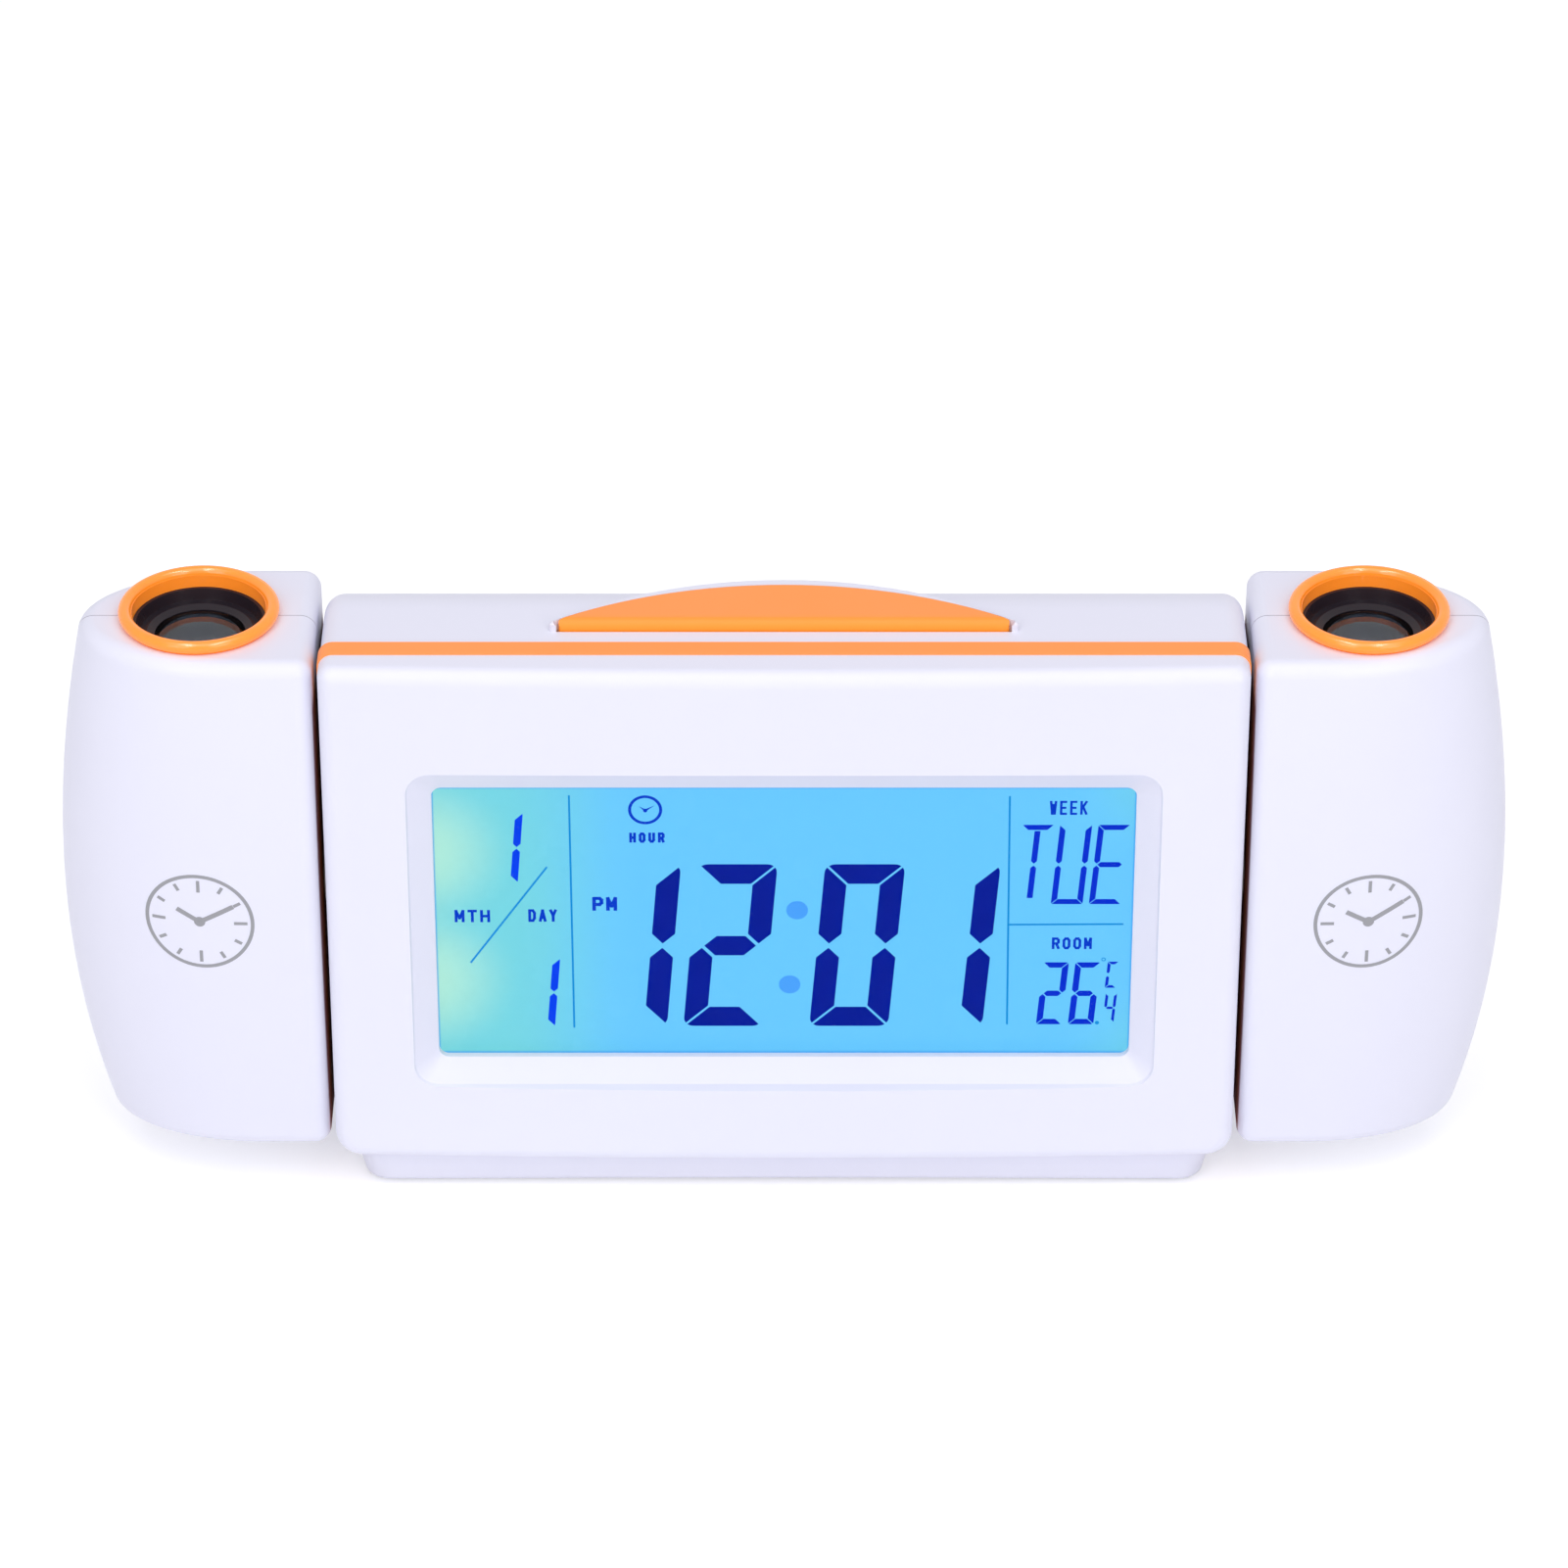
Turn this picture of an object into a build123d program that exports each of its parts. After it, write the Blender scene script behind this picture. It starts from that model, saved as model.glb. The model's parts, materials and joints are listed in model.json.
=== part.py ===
from build123d import *
import os

# Projection alarm clock: a display housing with a projector pod swivelling on each side.
# Millimetres. X runs to the right as seen from the front, Y away from the viewer, Z up.
# The origin lies on the table, under the middle of the clock.

# ---------------------------------------------------------------- housing
view_width = 104.0  # what shows of the display
view_height = 47.95
bevel_side = 3.45  # recess past the view, at each side, above and below
bevel_top = 4.05
bevel_bottom = 3.1
face_side = 12.55  # face past the recess, at each side, above and below
face_above = 17.6
face_below = 13.85
body_bottom = 7.85  # underside of the housing above the table
upper_corner = 2.2  # corner radii of the front outline
lower_corner = 4.0
shell_side_round = 3.0  # rounding between the shell's sides and its top, back and underside
wall = 2.0
seam_y = -12.3  # back of the front bezel, the datum of the depth stack
bezel_depth = 4.7  # seam to the bezel's face, at its sides
face_bulge = 1.2  # how far the middle of the face stands out past its sides
face_edge = 2.2  # rounding round the face
trim_thickness = 3.4
trim_rim = 2.6  # how far the trim reaches in from the outline
trim_proud = 0.2
shell_depth = 24.4
shell_top_radius = 14.0
shell_bottom_radius = 5.0
face_skin = 2.2  # thickness of the bezel's face at its sides

recess_width = view_width + 2 * bevel_side
recess_height = view_height + bevel_top + bevel_bottom
recess_z = body_bottom + face_below + recess_height / 2
display_z = body_bottom + face_below + bevel_bottom + view_height / 2
body_width = recess_width + 2 * face_side
body_height = recess_height + face_below + face_above
body_top = body_bottom + body_height
body_middle = (body_top + body_bottom) / 2
half_width = body_width / 2
face_y = seam_y - bezel_depth
trim_rear_y = seam_y + trim_thickness
shell_rear_y = trim_rear_y + shell_depth
shell_inner_y = shell_rear_y - wall

# ---------------------------------------------------------------- display stack
view_corner = 1.5
window_seat_depth = 0.9  # window seat, in front of the seam
lip_thickness = 1.0
recess_corner = 3.6
recess_flare = 0.5  # how much wider the recess is at the middle of the bulged face
window_margin = 2.4  # window past the view, each side
window_thickness = 1.5
stack_gap = 0.1
glass_margin = 1.9
glass_thickness = 2.2
guide_thickness = 3.0
pocket_gap = 0.2  # round the window in its frame
frame_wall = 2.0
frame_lip = 1.0  # rear rim that holds the stack
frame_overlap = 2.5  # how far that rim covers the light guide
ear_thickness = 1.6
ear_radius = 3.4
ear_spread = 40.0  # screws of the display frame, either side of the middle
ear_reach = 3.3  # above and below the frame
strip_height = 2.0  # contact strip under the light guide
strip_margin = 4.6  # glass past the contact strip, each side
lamp_size = (2.0, 2.0, 3.2)  # backlight lamps at the left edge of the light guide
lamp_offsets = (-13.7, 10.4)  # heights of the lamps from the middle of the display

window_width = view_width + 2 * window_margin
window_height = view_height + 2 * window_margin
glass_width = view_width + 2 * glass_margin
glass_height = view_height + 2 * glass_margin
window_seat_y = seam_y - window_seat_depth
window_rear_y = window_seat_y + window_thickness
glass_front_y = window_rear_y + stack_gap
glass_rear_y = glass_front_y + glass_thickness
guide_front_y = glass_rear_y + stack_gap
guide_rear_y = guide_front_y + guide_thickness
frame_lip_y = guide_rear_y + stack_gap
frame_rear_y = frame_lip_y + frame_lip
strip_length = glass_width - 2 * strip_margin
pocket_width = window_width + 2 * pocket_gap
pocket_height = window_height + 2 * pocket_gap
frame_width = pocket_width + 2 * frame_wall
frame_height = pocket_height + 2 * frame_wall
ear_height = frame_height / 2 + ear_reach
ear_points = [(side * ear_spread, display_z + end * ear_height) for side in (-1, 1) for end in (-1, 1)]

# ---------------------------------------------------------------- boards and fasteners
board_thickness = 1.6
board_inset = 2.8  # main board short of the frame's sides
board_past_screws = 3.15
board_corner = 1.5
chip_size = 14.0
chip_place = (-14.0, 12.0)  # from the middle of the display
blob_height = 1.1
crystal_size = (8.0, 3.0)
crystal_place = (14.0, 12.0)
capacitor_radius = 2.5
capacitor_places = ((-28.0, 14.0), (28.0, 14.0))
screw_radius = 1.1
screw_clearance = 0.3
pilot_gap = 0.05
head_radius = 2.4
head_height = 1.7
drive_radius = 1.3
drive_depth = 0.9
drive_slot = 0.6
well_gap = 0.4  # round a screw head in its well
boss_wall = 1.6
body_screw_inset = 6.0  # housing screws from its sides, bottom and top
body_screw_above = 9.15
body_screw_below = 17.4
case_screw_length = 10.0
boss_seat = 6.0  # length of shell boss in front of the screw heads
small_screw_radius = 0.8
small_head_radius = 1.7
small_head_height = 1.1
joint_gap = 0.1  # between faces that meet at a screwed joint

main_board_y = frame_rear_y  # front face of the main board
main_board_rear_y = main_board_y + board_thickness
main_board_width = frame_width - 2 * board_inset
main_board_height = 2 * (ear_height + board_past_screws)
pilot_radius = screw_radius + pilot_gap
body_screw_spread = half_width - body_screw_inset
body_screw_heights = (body_bottom + body_screw_above, body_top - body_screw_below)
body_screw_points = [(side * body_screw_spread, z) for side in (-1, 1) for z in body_screw_heights]
head_seat_y = trim_rear_y + boss_seat
well_radius = head_radius + well_gap
small_pilot = small_screw_radius + pilot_gap

# ---------------------------------------------------------------- snooze bar
bar_front_y = -5.5
bar_apex_y = 5.1
bar_arc_radius = 60.0
bar_rise = 1.6  # top of the bar above the housing
bar_front_round = 1.4
bar_gap = 0.25  # round the bar in its opening
bar_tip_round = 0.45
bar_flange = 1.2  # thickness of the flange that keeps the bar in
bar_flange_reach = 1.1
bar_travel = 1.2
rim_width = 1.7  # raised rim behind the bar, at its middle and at its tips
rim_tip = 0.35
rim_height = 1.5
rim_round = 0.5
bar_wall = 1.6
post_spread = 20.0
post_y = -1.2
post_root = 1.7  # how much wider the posts are inside the bar
post_radius = 1.4
post_gap = 0.2
post_below_board = 1.6
spring_wire = 0.35
spring_turns = 4
spring_gap = 0.3  # inside the spring
snooze_board_length = 84.0
snooze_board_depth = 8.4
snooze_boss_spread = 38.6
snooze_boss_radius = 2.4
switch_side = 6.0
switch_height = 3.4
plunger_radius = 1.7
plunger_height = 0.9
press_gap = 0.1  # left between a pressed button and its switch at full travel

bar_top_z = body_top + bar_rise
ceiling_z = body_top - wall
bar_flange_top_z = ceiling_z - press_gap
bar_bottom_z = bar_flange_top_z - bar_flange
snooze_board_z = bar_bottom_z - bar_travel - press_gap - plunger_height - switch_height

# ---------------------------------------------------------------- rear controls
key_names = ("mode", "set", "up", "down")
key_pitch = 18.0
key_row_drop = 28.4  # row of keys below the top of the housing
key_size = (10.0, 5.0)
key_proud = 1.0
key_gap = 0.25
key_flange = 1.0
key_flange_reach = 0.9
key_travel = 0.8
key_round = 0.4
key_board_size = (82.0, 15.0)
key_boss_spread = 37.6
selector_x = 43.0
selector_rise = 34.15  # these rises are heights above the housing's underside
selector_travel = 3.0
selector_knob = (3.4, 3.0)
selector_proud = 1.6
selector_slot_gap = 0.3
selector_body = (13.0, 6.5, 5.0)
jack_x = 43.0
jack_rise = 16.15
jack_nose_radius = 3.1
jack_bore_radius = 1.85
jack_pin_radius = 0.65
jack_bore_depth = 9.0
jack_body = (9.0, 9.0, 10.5)
jack_gap = 0.15
jack_recess = 0.2
buzzer_x = -43.0
buzzer_rise = 28.15
buzzer_radius = 10.0
buzzer_plate = 0.3
buzzer_ceramic_radius = 7.0
buzzer_ceramic = 0.25
buzzer_step = 0.9  # width of the ring step that carries the disc
buzzer_standoff = 1.0
buzzer_gap = 0.15
grille_hole_radius = 0.8
grille_radii = (3.2, 6.4)
grille_counts = (6, 12)
vent_slot = (8.0, 1.2)
vent_pitch = 2.6
vent_x = -50.0
vent_count = 3
thermistor_radius = 1.1
thermistor_x = -37.6
thermistor_drop = 5.3

key_row_z = body_top - key_row_drop
selector_z = body_bottom + selector_rise
selector_middle = selector_x + selector_travel / 2
jack_z = body_bottom + jack_rise
buzzer_z = body_bottom + buzzer_rise
vent_heights = [key_row_z + (n - (vent_count - 1) / 2) * vent_pitch for n in range(vent_count)]
key_xs = [((len(key_names) - 1) / 2 - n) * key_pitch for n in range(len(key_names))]
key_flange_y = shell_inner_y - press_gap
key_inner_y = key_flange_y - key_flange
key_switch_y = key_inner_y - key_travel - press_gap - plunger_height - switch_height
key_board_y = key_switch_y - board_thickness

# ---------------------------------------------------------------- battery compartment
cell_radius = 5.2
cell_length = 43.7
cell_nub_radius = 1.9
cell_nub = 0.8
cell_count = 3
cell_pitch = 11.0
cell_gap = 0.3
contact_room = 2.4  # at each end of the cells
box_wall = 1.5
door_thickness = 1.6
door_ledge = 0.9
door_gap = 0.2
door_rise = 25.35  # middle of the door above the housing's underside
door_lug = (6.0, 1.6, 1.5)
door_lug_spread = 15.0
thumb_recess = (16.0, 8.0)
thumb_drop = 6.5  # middle of the thumb recess below the door's upper edge
thumb_depth = 0.7
grip_rib = (9.0, 0.8)
grip_pitch = 1.8
door_grip_count = 4
contact_plate = 0.4
battery_spring_radius = 3.0
tab_width = 2.0
tab_y = 0.4

door_z = body_bottom + door_rise
box_length = cell_length + cell_nub + 2 * contact_room
box_height = cell_count * cell_pitch + cell_gap
box_depth = 2 * cell_radius + 2 * cell_gap
door_width = box_length + 2 * door_ledge
door_height = box_height + 2 * door_ledge
door_inner_y = shell_rear_y - door_thickness
box_floor_y = door_inner_y - box_depth
cell_y = box_floor_y + cell_gap + cell_radius
cell_heights = [door_z + (n - (cell_count - 1) / 2) * cell_pitch for n in range(cell_count)]

# ---------------------------------------------------------------- base
base_inset = 2.2  # top of the base short of the housing's sides
base_taper = 1.8
base_advance = 0.3  # front of the base ahead of the bezel's seam
base_overhang = 2.7  # back of the base past the housing
base_corner = 4.0
base_round = 0.9
base_arch = 0.2  # how far the middle of the underside is raised
base_wall = 2.2
base_floor = 2.6
foot_radius = 4.5
foot_proud = 0.6
foot_recess = 1.0
foot_gap = 0.15
foot_inset = 11.5  # feet from the sides, the front and the back of the base
foot_front_inset = 8.2
foot_rear_inset = 7.0
base_screw_spread = 42.0
base_screw_y = 2.0
base_boss_seat = 2.4
base_back_wall = 5.2  # solid part of the base behind its pocket

base_top_width = body_width - 2 * base_inset
base_bottom_width = base_top_width - 2 * base_taper
base_front_y = seam_y - base_advance
base_rear_y = shell_rear_y + base_overhang
base_cover_y = base_rear_y - base_back_wall
foot_spread = base_bottom_width / 2 - foot_inset
foot_ys = (base_front_y + foot_front_inset, base_rear_y - foot_rear_inset)

# ---------------------------------------------------------------- projector pods
pod_gap = 0.9  # housing side to pod
pod_drop = 0.6  # top of the pods below the housing's top
pod_rise = 0.15  # underside of the pods above the housing's
waist_drop = 1.9  # widest height below the swivel axis
pod_reach = 39.46
pod_reach_top = 34.76
pod_reach_bottom = 33.56
pod_depth = 16.5  # half depths
pod_depth_top = 14.5
pod_depth_bottom = 14.0
pod_flat = 10.6  # flat part of the front and back, next to the housing
pod_inner_corner = 2.6
pod_edge = 2.4
pod_wall = 1.8
hub_radius = 6.0
hub_bore = 3.6
hub_gap = 0.08
hub_flange_side = 15.0
hub_flange = 2.0
hub_boss_radius = 8.4
hub_boss_length = 3.2
hub_end = 0.8  # hub past the retaining clip
flange_gap = 0.1
rib_thickness = 1.4
washer_thickness = 0.8
retainer_thickness = 1.4
retainer_grip = 0.8  # depth of the clip's groove in the hub
clip_mouth = 4.2  # half width of the clip's opening

pod_bottom = body_bottom + pod_rise
pod_top = body_top - pod_drop
swivel_z = (pod_bottom + pod_top) / 2
pod_waist = swivel_z - waist_drop
pod_inner_x = half_width + pod_gap
shell_side_x = half_width - wall
hub_boss_x = shell_side_x - hub_boss_length
washer_x = hub_boss_x - washer_thickness - flange_gap
retainer_x = washer_x - retainer_thickness - flange_gap
hub_inner_x = retainer_x - hub_end
hub_flange_x = pod_inner_x + pod_wall + flange_gap
hub_outer_x = hub_flange_x + hub_flange

# ---------------------------------------------------------------- projector optics
lens_offset = 17.25  # optical axis from the pod's inner side
bead_radius = 10.93  # centre line of the ring's rounded bead
bead_tube = 0.95
bead_gap = 0.1
ring_bore = 9.9
ring_sleeve = 1.2
ring_flange_reach = 0.7
ring_flange = 1.2
ring_hole_gap = 0.2
barrel_gap = 0.08
barrel_rim_drop = 0.9  # barrel rim below the pod's top
barrel_length = 12.3
barrel_lip = 0.5
barrel_mouth = 1.7
barrel_ledge = 1.0
lens_radius = 6.6
lens_edge = 1.4
lens_crown = 1.3
lens_curve = 17.4  # radius of the domed face
lens_gap = 0.1
lens_aperture = 5.8
lens_drop = 3.6  # lens seat above its underside, below the barrel's rim
tube_wall = 1.2
tube_length = 29.8  # these lengths are measured down from the pod's top
slide_depth = 18.8
cradle_depths = (26.8, 9.8)
tube_collar = 1.0  # collar that rests on the upper cradle
slide_side = 13.4
slide_thickness = 1.6
tube_lower_bore = 6.8
lamp_board_side = 21.0
lamp_radius = 2.4
lamp_height = 2.0
cradle_thickness = 2.0
pod_screw_low = (19.1, 12.0)  # pod screws from the pod's inner side and underside
pod_screw_middle = (26.6, 28.0)
pod_screw_high = (32.4, 18.8)  # this one from the inner side and the top
pod_boss_seat = 3.2

lens_x = pod_inner_x + lens_offset
tube_bottom = pod_top - tube_length
tube_step = pod_top - slide_depth
cradle_heights = [pod_top - depth for depth in cradle_depths]
pod_screw_points = [
    (pod_inner_x + pod_screw_low[0], pod_bottom + pod_screw_low[1]),
    (pod_inner_x + pod_screw_middle[0], pod_bottom + pod_screw_middle[1]),
    (pod_inner_x + pod_screw_high[0], pod_top - pod_screw_high[1]),
]
ring_flange_top = pod_top - pod_wall - flange_gap
ring_bottom = ring_flange_top - ring_flange
barrel_radius = ring_bore - barrel_gap
barrel_top = pod_top - barrel_rim_drop
barrel_bottom = barrel_top - barrel_length
tube_top = ring_bottom - flange_gap
tube_radius = ring_bore + tube_wall
collar_z = cradle_heights[1] + cradle_thickness + flange_gap
lens_seat = barrel_top - lens_drop

# ---------------------------------------------------------------- wiring
lead_radius = 0.7
bundle_radius = 1.6
bundle_bend = 4.5
ribbon_width = 14.0
ribbon_thickness = 0.7
ribbon_drop = 7.0
ribbon_rise = 5.5  # upper run of the ribbon above the row of keys
ribbon_bend = 3.0
socket_size = (7.0, 6.0)  # sockets on the main board for the pods' leads
socket_height = 6.0
socket_inset = 5.5  # sockets from the main board's sides
socket_rise = 7.1  # underside of the sockets above the swivel axis
lead_spread = 2.5

ribbon_middle_y = (main_board_rear_y + key_board_y) / 2
ribbon_top_z = key_row_z + ribbon_rise
socket_x = main_board_width / 2 - socket_inset
socket_z = swivel_z + socket_rise
buzzer_face_y = shell_inner_y - buzzer_standoff - buzzer_plate - buzzer_ceramic
lead_runs = (
    (box_length / 2 - contact_plate, door_z, tab_y),
    (contact_plate - box_length / 2, door_z, tab_y),
    (jack_x - lead_spread, jack_z, shell_inner_y - jack_body[2]),
    (jack_x + lead_spread, jack_z, shell_inner_y - jack_body[2]),
    (selector_middle - lead_spread, selector_z, shell_inner_y - selector_body[2]),
    (selector_middle + lead_spread, selector_z, shell_inner_y - selector_body[2]),
    (buzzer_x - lead_spread, buzzer_z, buzzer_face_y),
    (buzzer_x + lead_spread, buzzer_z, buzzer_face_y),
)


# ================================================================ helpers
def facing_front(y):
    """Plane at depth y that faces the viewer; its own axes are X and Z."""
    return Plane.XZ.offset(-y)


def facing_side(x):
    """Plane at x whose own axes are Y and Z, facing +X."""
    return Plane.YZ.offset(x)


def mirrored(piece):
    """The same piece on the other side of the clock."""
    with BuildPart() as other_side:
        mirror(piece, about=Plane.YZ)
    return other_side.part


def screw(radius, length, head, height):
    """A pan head screw standing on Z, its head's underside at zero and its shank below."""
    with BuildPart() as made:
        with BuildSketch():
            Circle(head)
        extrude(amount=height)
        fillet(made.edges().group_by(Axis.Z)[-1], height * 0.4)
        with BuildSketch():
            Circle(radius)
        extrude(amount=-length)
        chamfer(made.edges().group_by(Axis.Z)[0], radius * 0.5)
        with BuildSketch(Plane.XY.offset(height)):
            Rectangle(2 * drive_radius * head / head_radius, drive_slot)
            Rectangle(drive_slot, 2 * drive_radius * head / head_radius)
        extrude(amount=-drive_depth * height / head_height, mode=Mode.SUBTRACT)
    return made.part


def placed(piece, planes):
    """Copies of a piece, one on each plane."""
    with BuildPart() as group:
        with Locations(*[Location(plane) for plane in planes]):
            add(piece)
    return group.part


def bar_half_chord(widen_arc, widen_front):
    """Half the length of the snooze bar's front edge, when its outline is widened by the given amounts."""
    radius = bar_arc_radius + widen_arc
    sagitta = bar_apex_y + widen_arc - bar_front_y + widen_front
    return (2 * radius * sagitta - sagitta**2) ** 0.5


def bow(half_chord, apex, front):
    """An arc over a straight front edge, with rounded tips, in a sketch at any height."""
    with BuildSketch() as outline:
        with BuildLine():
            ThreePointArc((half_chord, front), (0, apex), (-half_chord, front))
            Line((-half_chord, front), (half_chord, front))
        make_face()
        fillet(outline.vertices(), bar_tip_round)
    return outline.sketch


def crescent(widen_arc, widen_front):
    """Outline of the snooze bar, widened by the given amounts."""
    half_chord = bar_half_chord(widen_arc, widen_front)
    return bow(half_chord, bar_apex_y + widen_arc, bar_front_y - widen_front)


def front_outline(inset):
    """The housing's outline as seen from the front, drawn in by inset or let out by a negative one."""
    with BuildSketch() as outline:
        with Locations((0, body_middle)):
            Rectangle(body_width - 2 * inset, body_height - 2 * inset)
        fillet(outline.vertices().group_by(Axis.Y)[-1], upper_corner - inset / 2)
        fillet(outline.vertices().group_by(Axis.Y)[0], lower_corner - inset / 2)
    return outline.sketch


# ================================================================ front bezel
with BuildPart() as front_bezel:
    with BuildSketch(Plane.XY.offset(body_bottom)):
        with BuildLine():
            ThreePointArc((-half_width, face_y), (0, face_y - face_bulge), (half_width, face_y))
            Polyline(
                (half_width, face_y),
                (half_width, seam_y),
                (-half_width, seam_y),
                (-half_width, face_y),
            )
        make_face()
    extrude(amount=body_height)
    fillet(front_bezel.edges().filter_by(Axis.Y).group_by(Axis.Z)[-1], upper_corner)
    fillet(front_bezel.edges().filter_by(Axis.Y).group_by(Axis.Z)[0], lower_corner)
    fillet(front_bezel.faces().sort_by(Axis.Y)[0].edges(), face_edge)
    # hollow behind the face, leaving a seat round the window
    with BuildSketch(facing_front(seam_y)):
        add(front_outline(wall))
    extrude(amount=window_seat_depth, mode=Mode.SUBTRACT)
    with BuildSketch(facing_front(window_seat_y)):
        add(front_outline(wall))
        with Locations((0, display_z)):
            Rectangle(frame_width, frame_height, mode=Mode.SUBTRACT)
    extrude(amount=bezel_depth - window_seat_depth - face_skin, mode=Mode.SUBTRACT)
    # window opening: a straight lip, then a bevel that opens to the face
    with BuildSketch(facing_front(window_seat_y)):
        with Locations((0, display_z)):
            RectangleRounded(view_width, view_height, view_corner)
    extrude(amount=lip_thickness, mode=Mode.SUBTRACT)
    with BuildSketch(facing_front(window_seat_y - lip_thickness)):
        with Locations((0, display_z)):
            RectangleRounded(view_width, view_height, view_corner)
    with BuildSketch(facing_front(face_y)):
        with Locations((0, recess_z)):
            RectangleRounded(recess_width, recess_height, recess_corner)
    with BuildSketch(facing_front(face_y - 2 * face_bulge)):
        with Locations((0, recess_z)):
            RectangleRounded(
                recess_width + 4 * recess_flare,
                recess_height + 4 * recess_flare,
                recess_corner + recess_flare,
            )
    loft(ruled=True, mode=Mode.SUBTRACT)
    # bosses for the housing screws and for the display frame
    with BuildSketch(facing_front(trim_rear_y - joint_gap)):
        with Locations(*body_screw_points):
            Circle(pilot_radius + boss_wall)
    extrude(amount=trim_thickness - joint_gap + bezel_depth - face_skin + joint_gap)
    with BuildSketch(facing_front(trim_rear_y - joint_gap)):
        with Locations(*body_screw_points):
            Circle(pilot_radius)
    extrude(amount=case_screw_length - boss_seat + joint_gap, mode=Mode.SUBTRACT)
    with BuildSketch(facing_front(frame_rear_y - ear_thickness)):
        with Locations(*ear_points):
            Circle(ear_radius - boss_wall / 2)
    extrude(amount=frame_rear_y - ear_thickness - face_y - face_skin + joint_gap)
    with BuildSketch(facing_front(frame_rear_y - ear_thickness)):
        with Locations(*ear_points):
            Circle(small_pilot)
    extrude(amount=trim_thickness, mode=Mode.SUBTRACT)

# ================================================================ trim band
with BuildPart() as trim_band:
    with BuildSketch(facing_front(trim_rear_y)):
        add(front_outline(-trim_proud))
        add(front_outline(trim_rim), mode=Mode.SUBTRACT)
    extrude(amount=trim_thickness)


# ================================================================ rear shell
def shell_blank(inset, overrun=0.0):
    """The rear housing as a solid block, drawn in by inset; overrun lengthens it past its front edge."""
    front = trim_rear_y - overrun
    rear = shell_rear_y - inset
    with BuildPart() as blank:
        with BuildSketch(facing_side(-(half_width - inset))) as profile:
            with Locations(((front + rear) / 2, body_middle)):
                Rectangle(rear - front, body_height - 2 * inset)
            fillet(profile.vertices().group_by(Axis.X)[-1].sort_by(Axis.Y)[-1], shell_top_radius - inset)
            fillet(profile.vertices().sort_by(Axis.Y)[:2].sort_by(Axis.X)[-1], shell_bottom_radius - inset)
        extrude(amount=body_width - 2 * inset)
        left_edges = blank.faces().sort_by(Axis.X)[0].edges().sort_by(Axis.Y)[1:]
        right_edges = blank.faces().sort_by(Axis.X)[-1].edges().sort_by(Axis.Y)[1:]
        fillet(left_edges + right_edges, shell_side_round - inset / 2)
    return blank.part


rim_half_chord = bar_half_chord(bar_gap, bar_gap) + rim_tip

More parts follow.
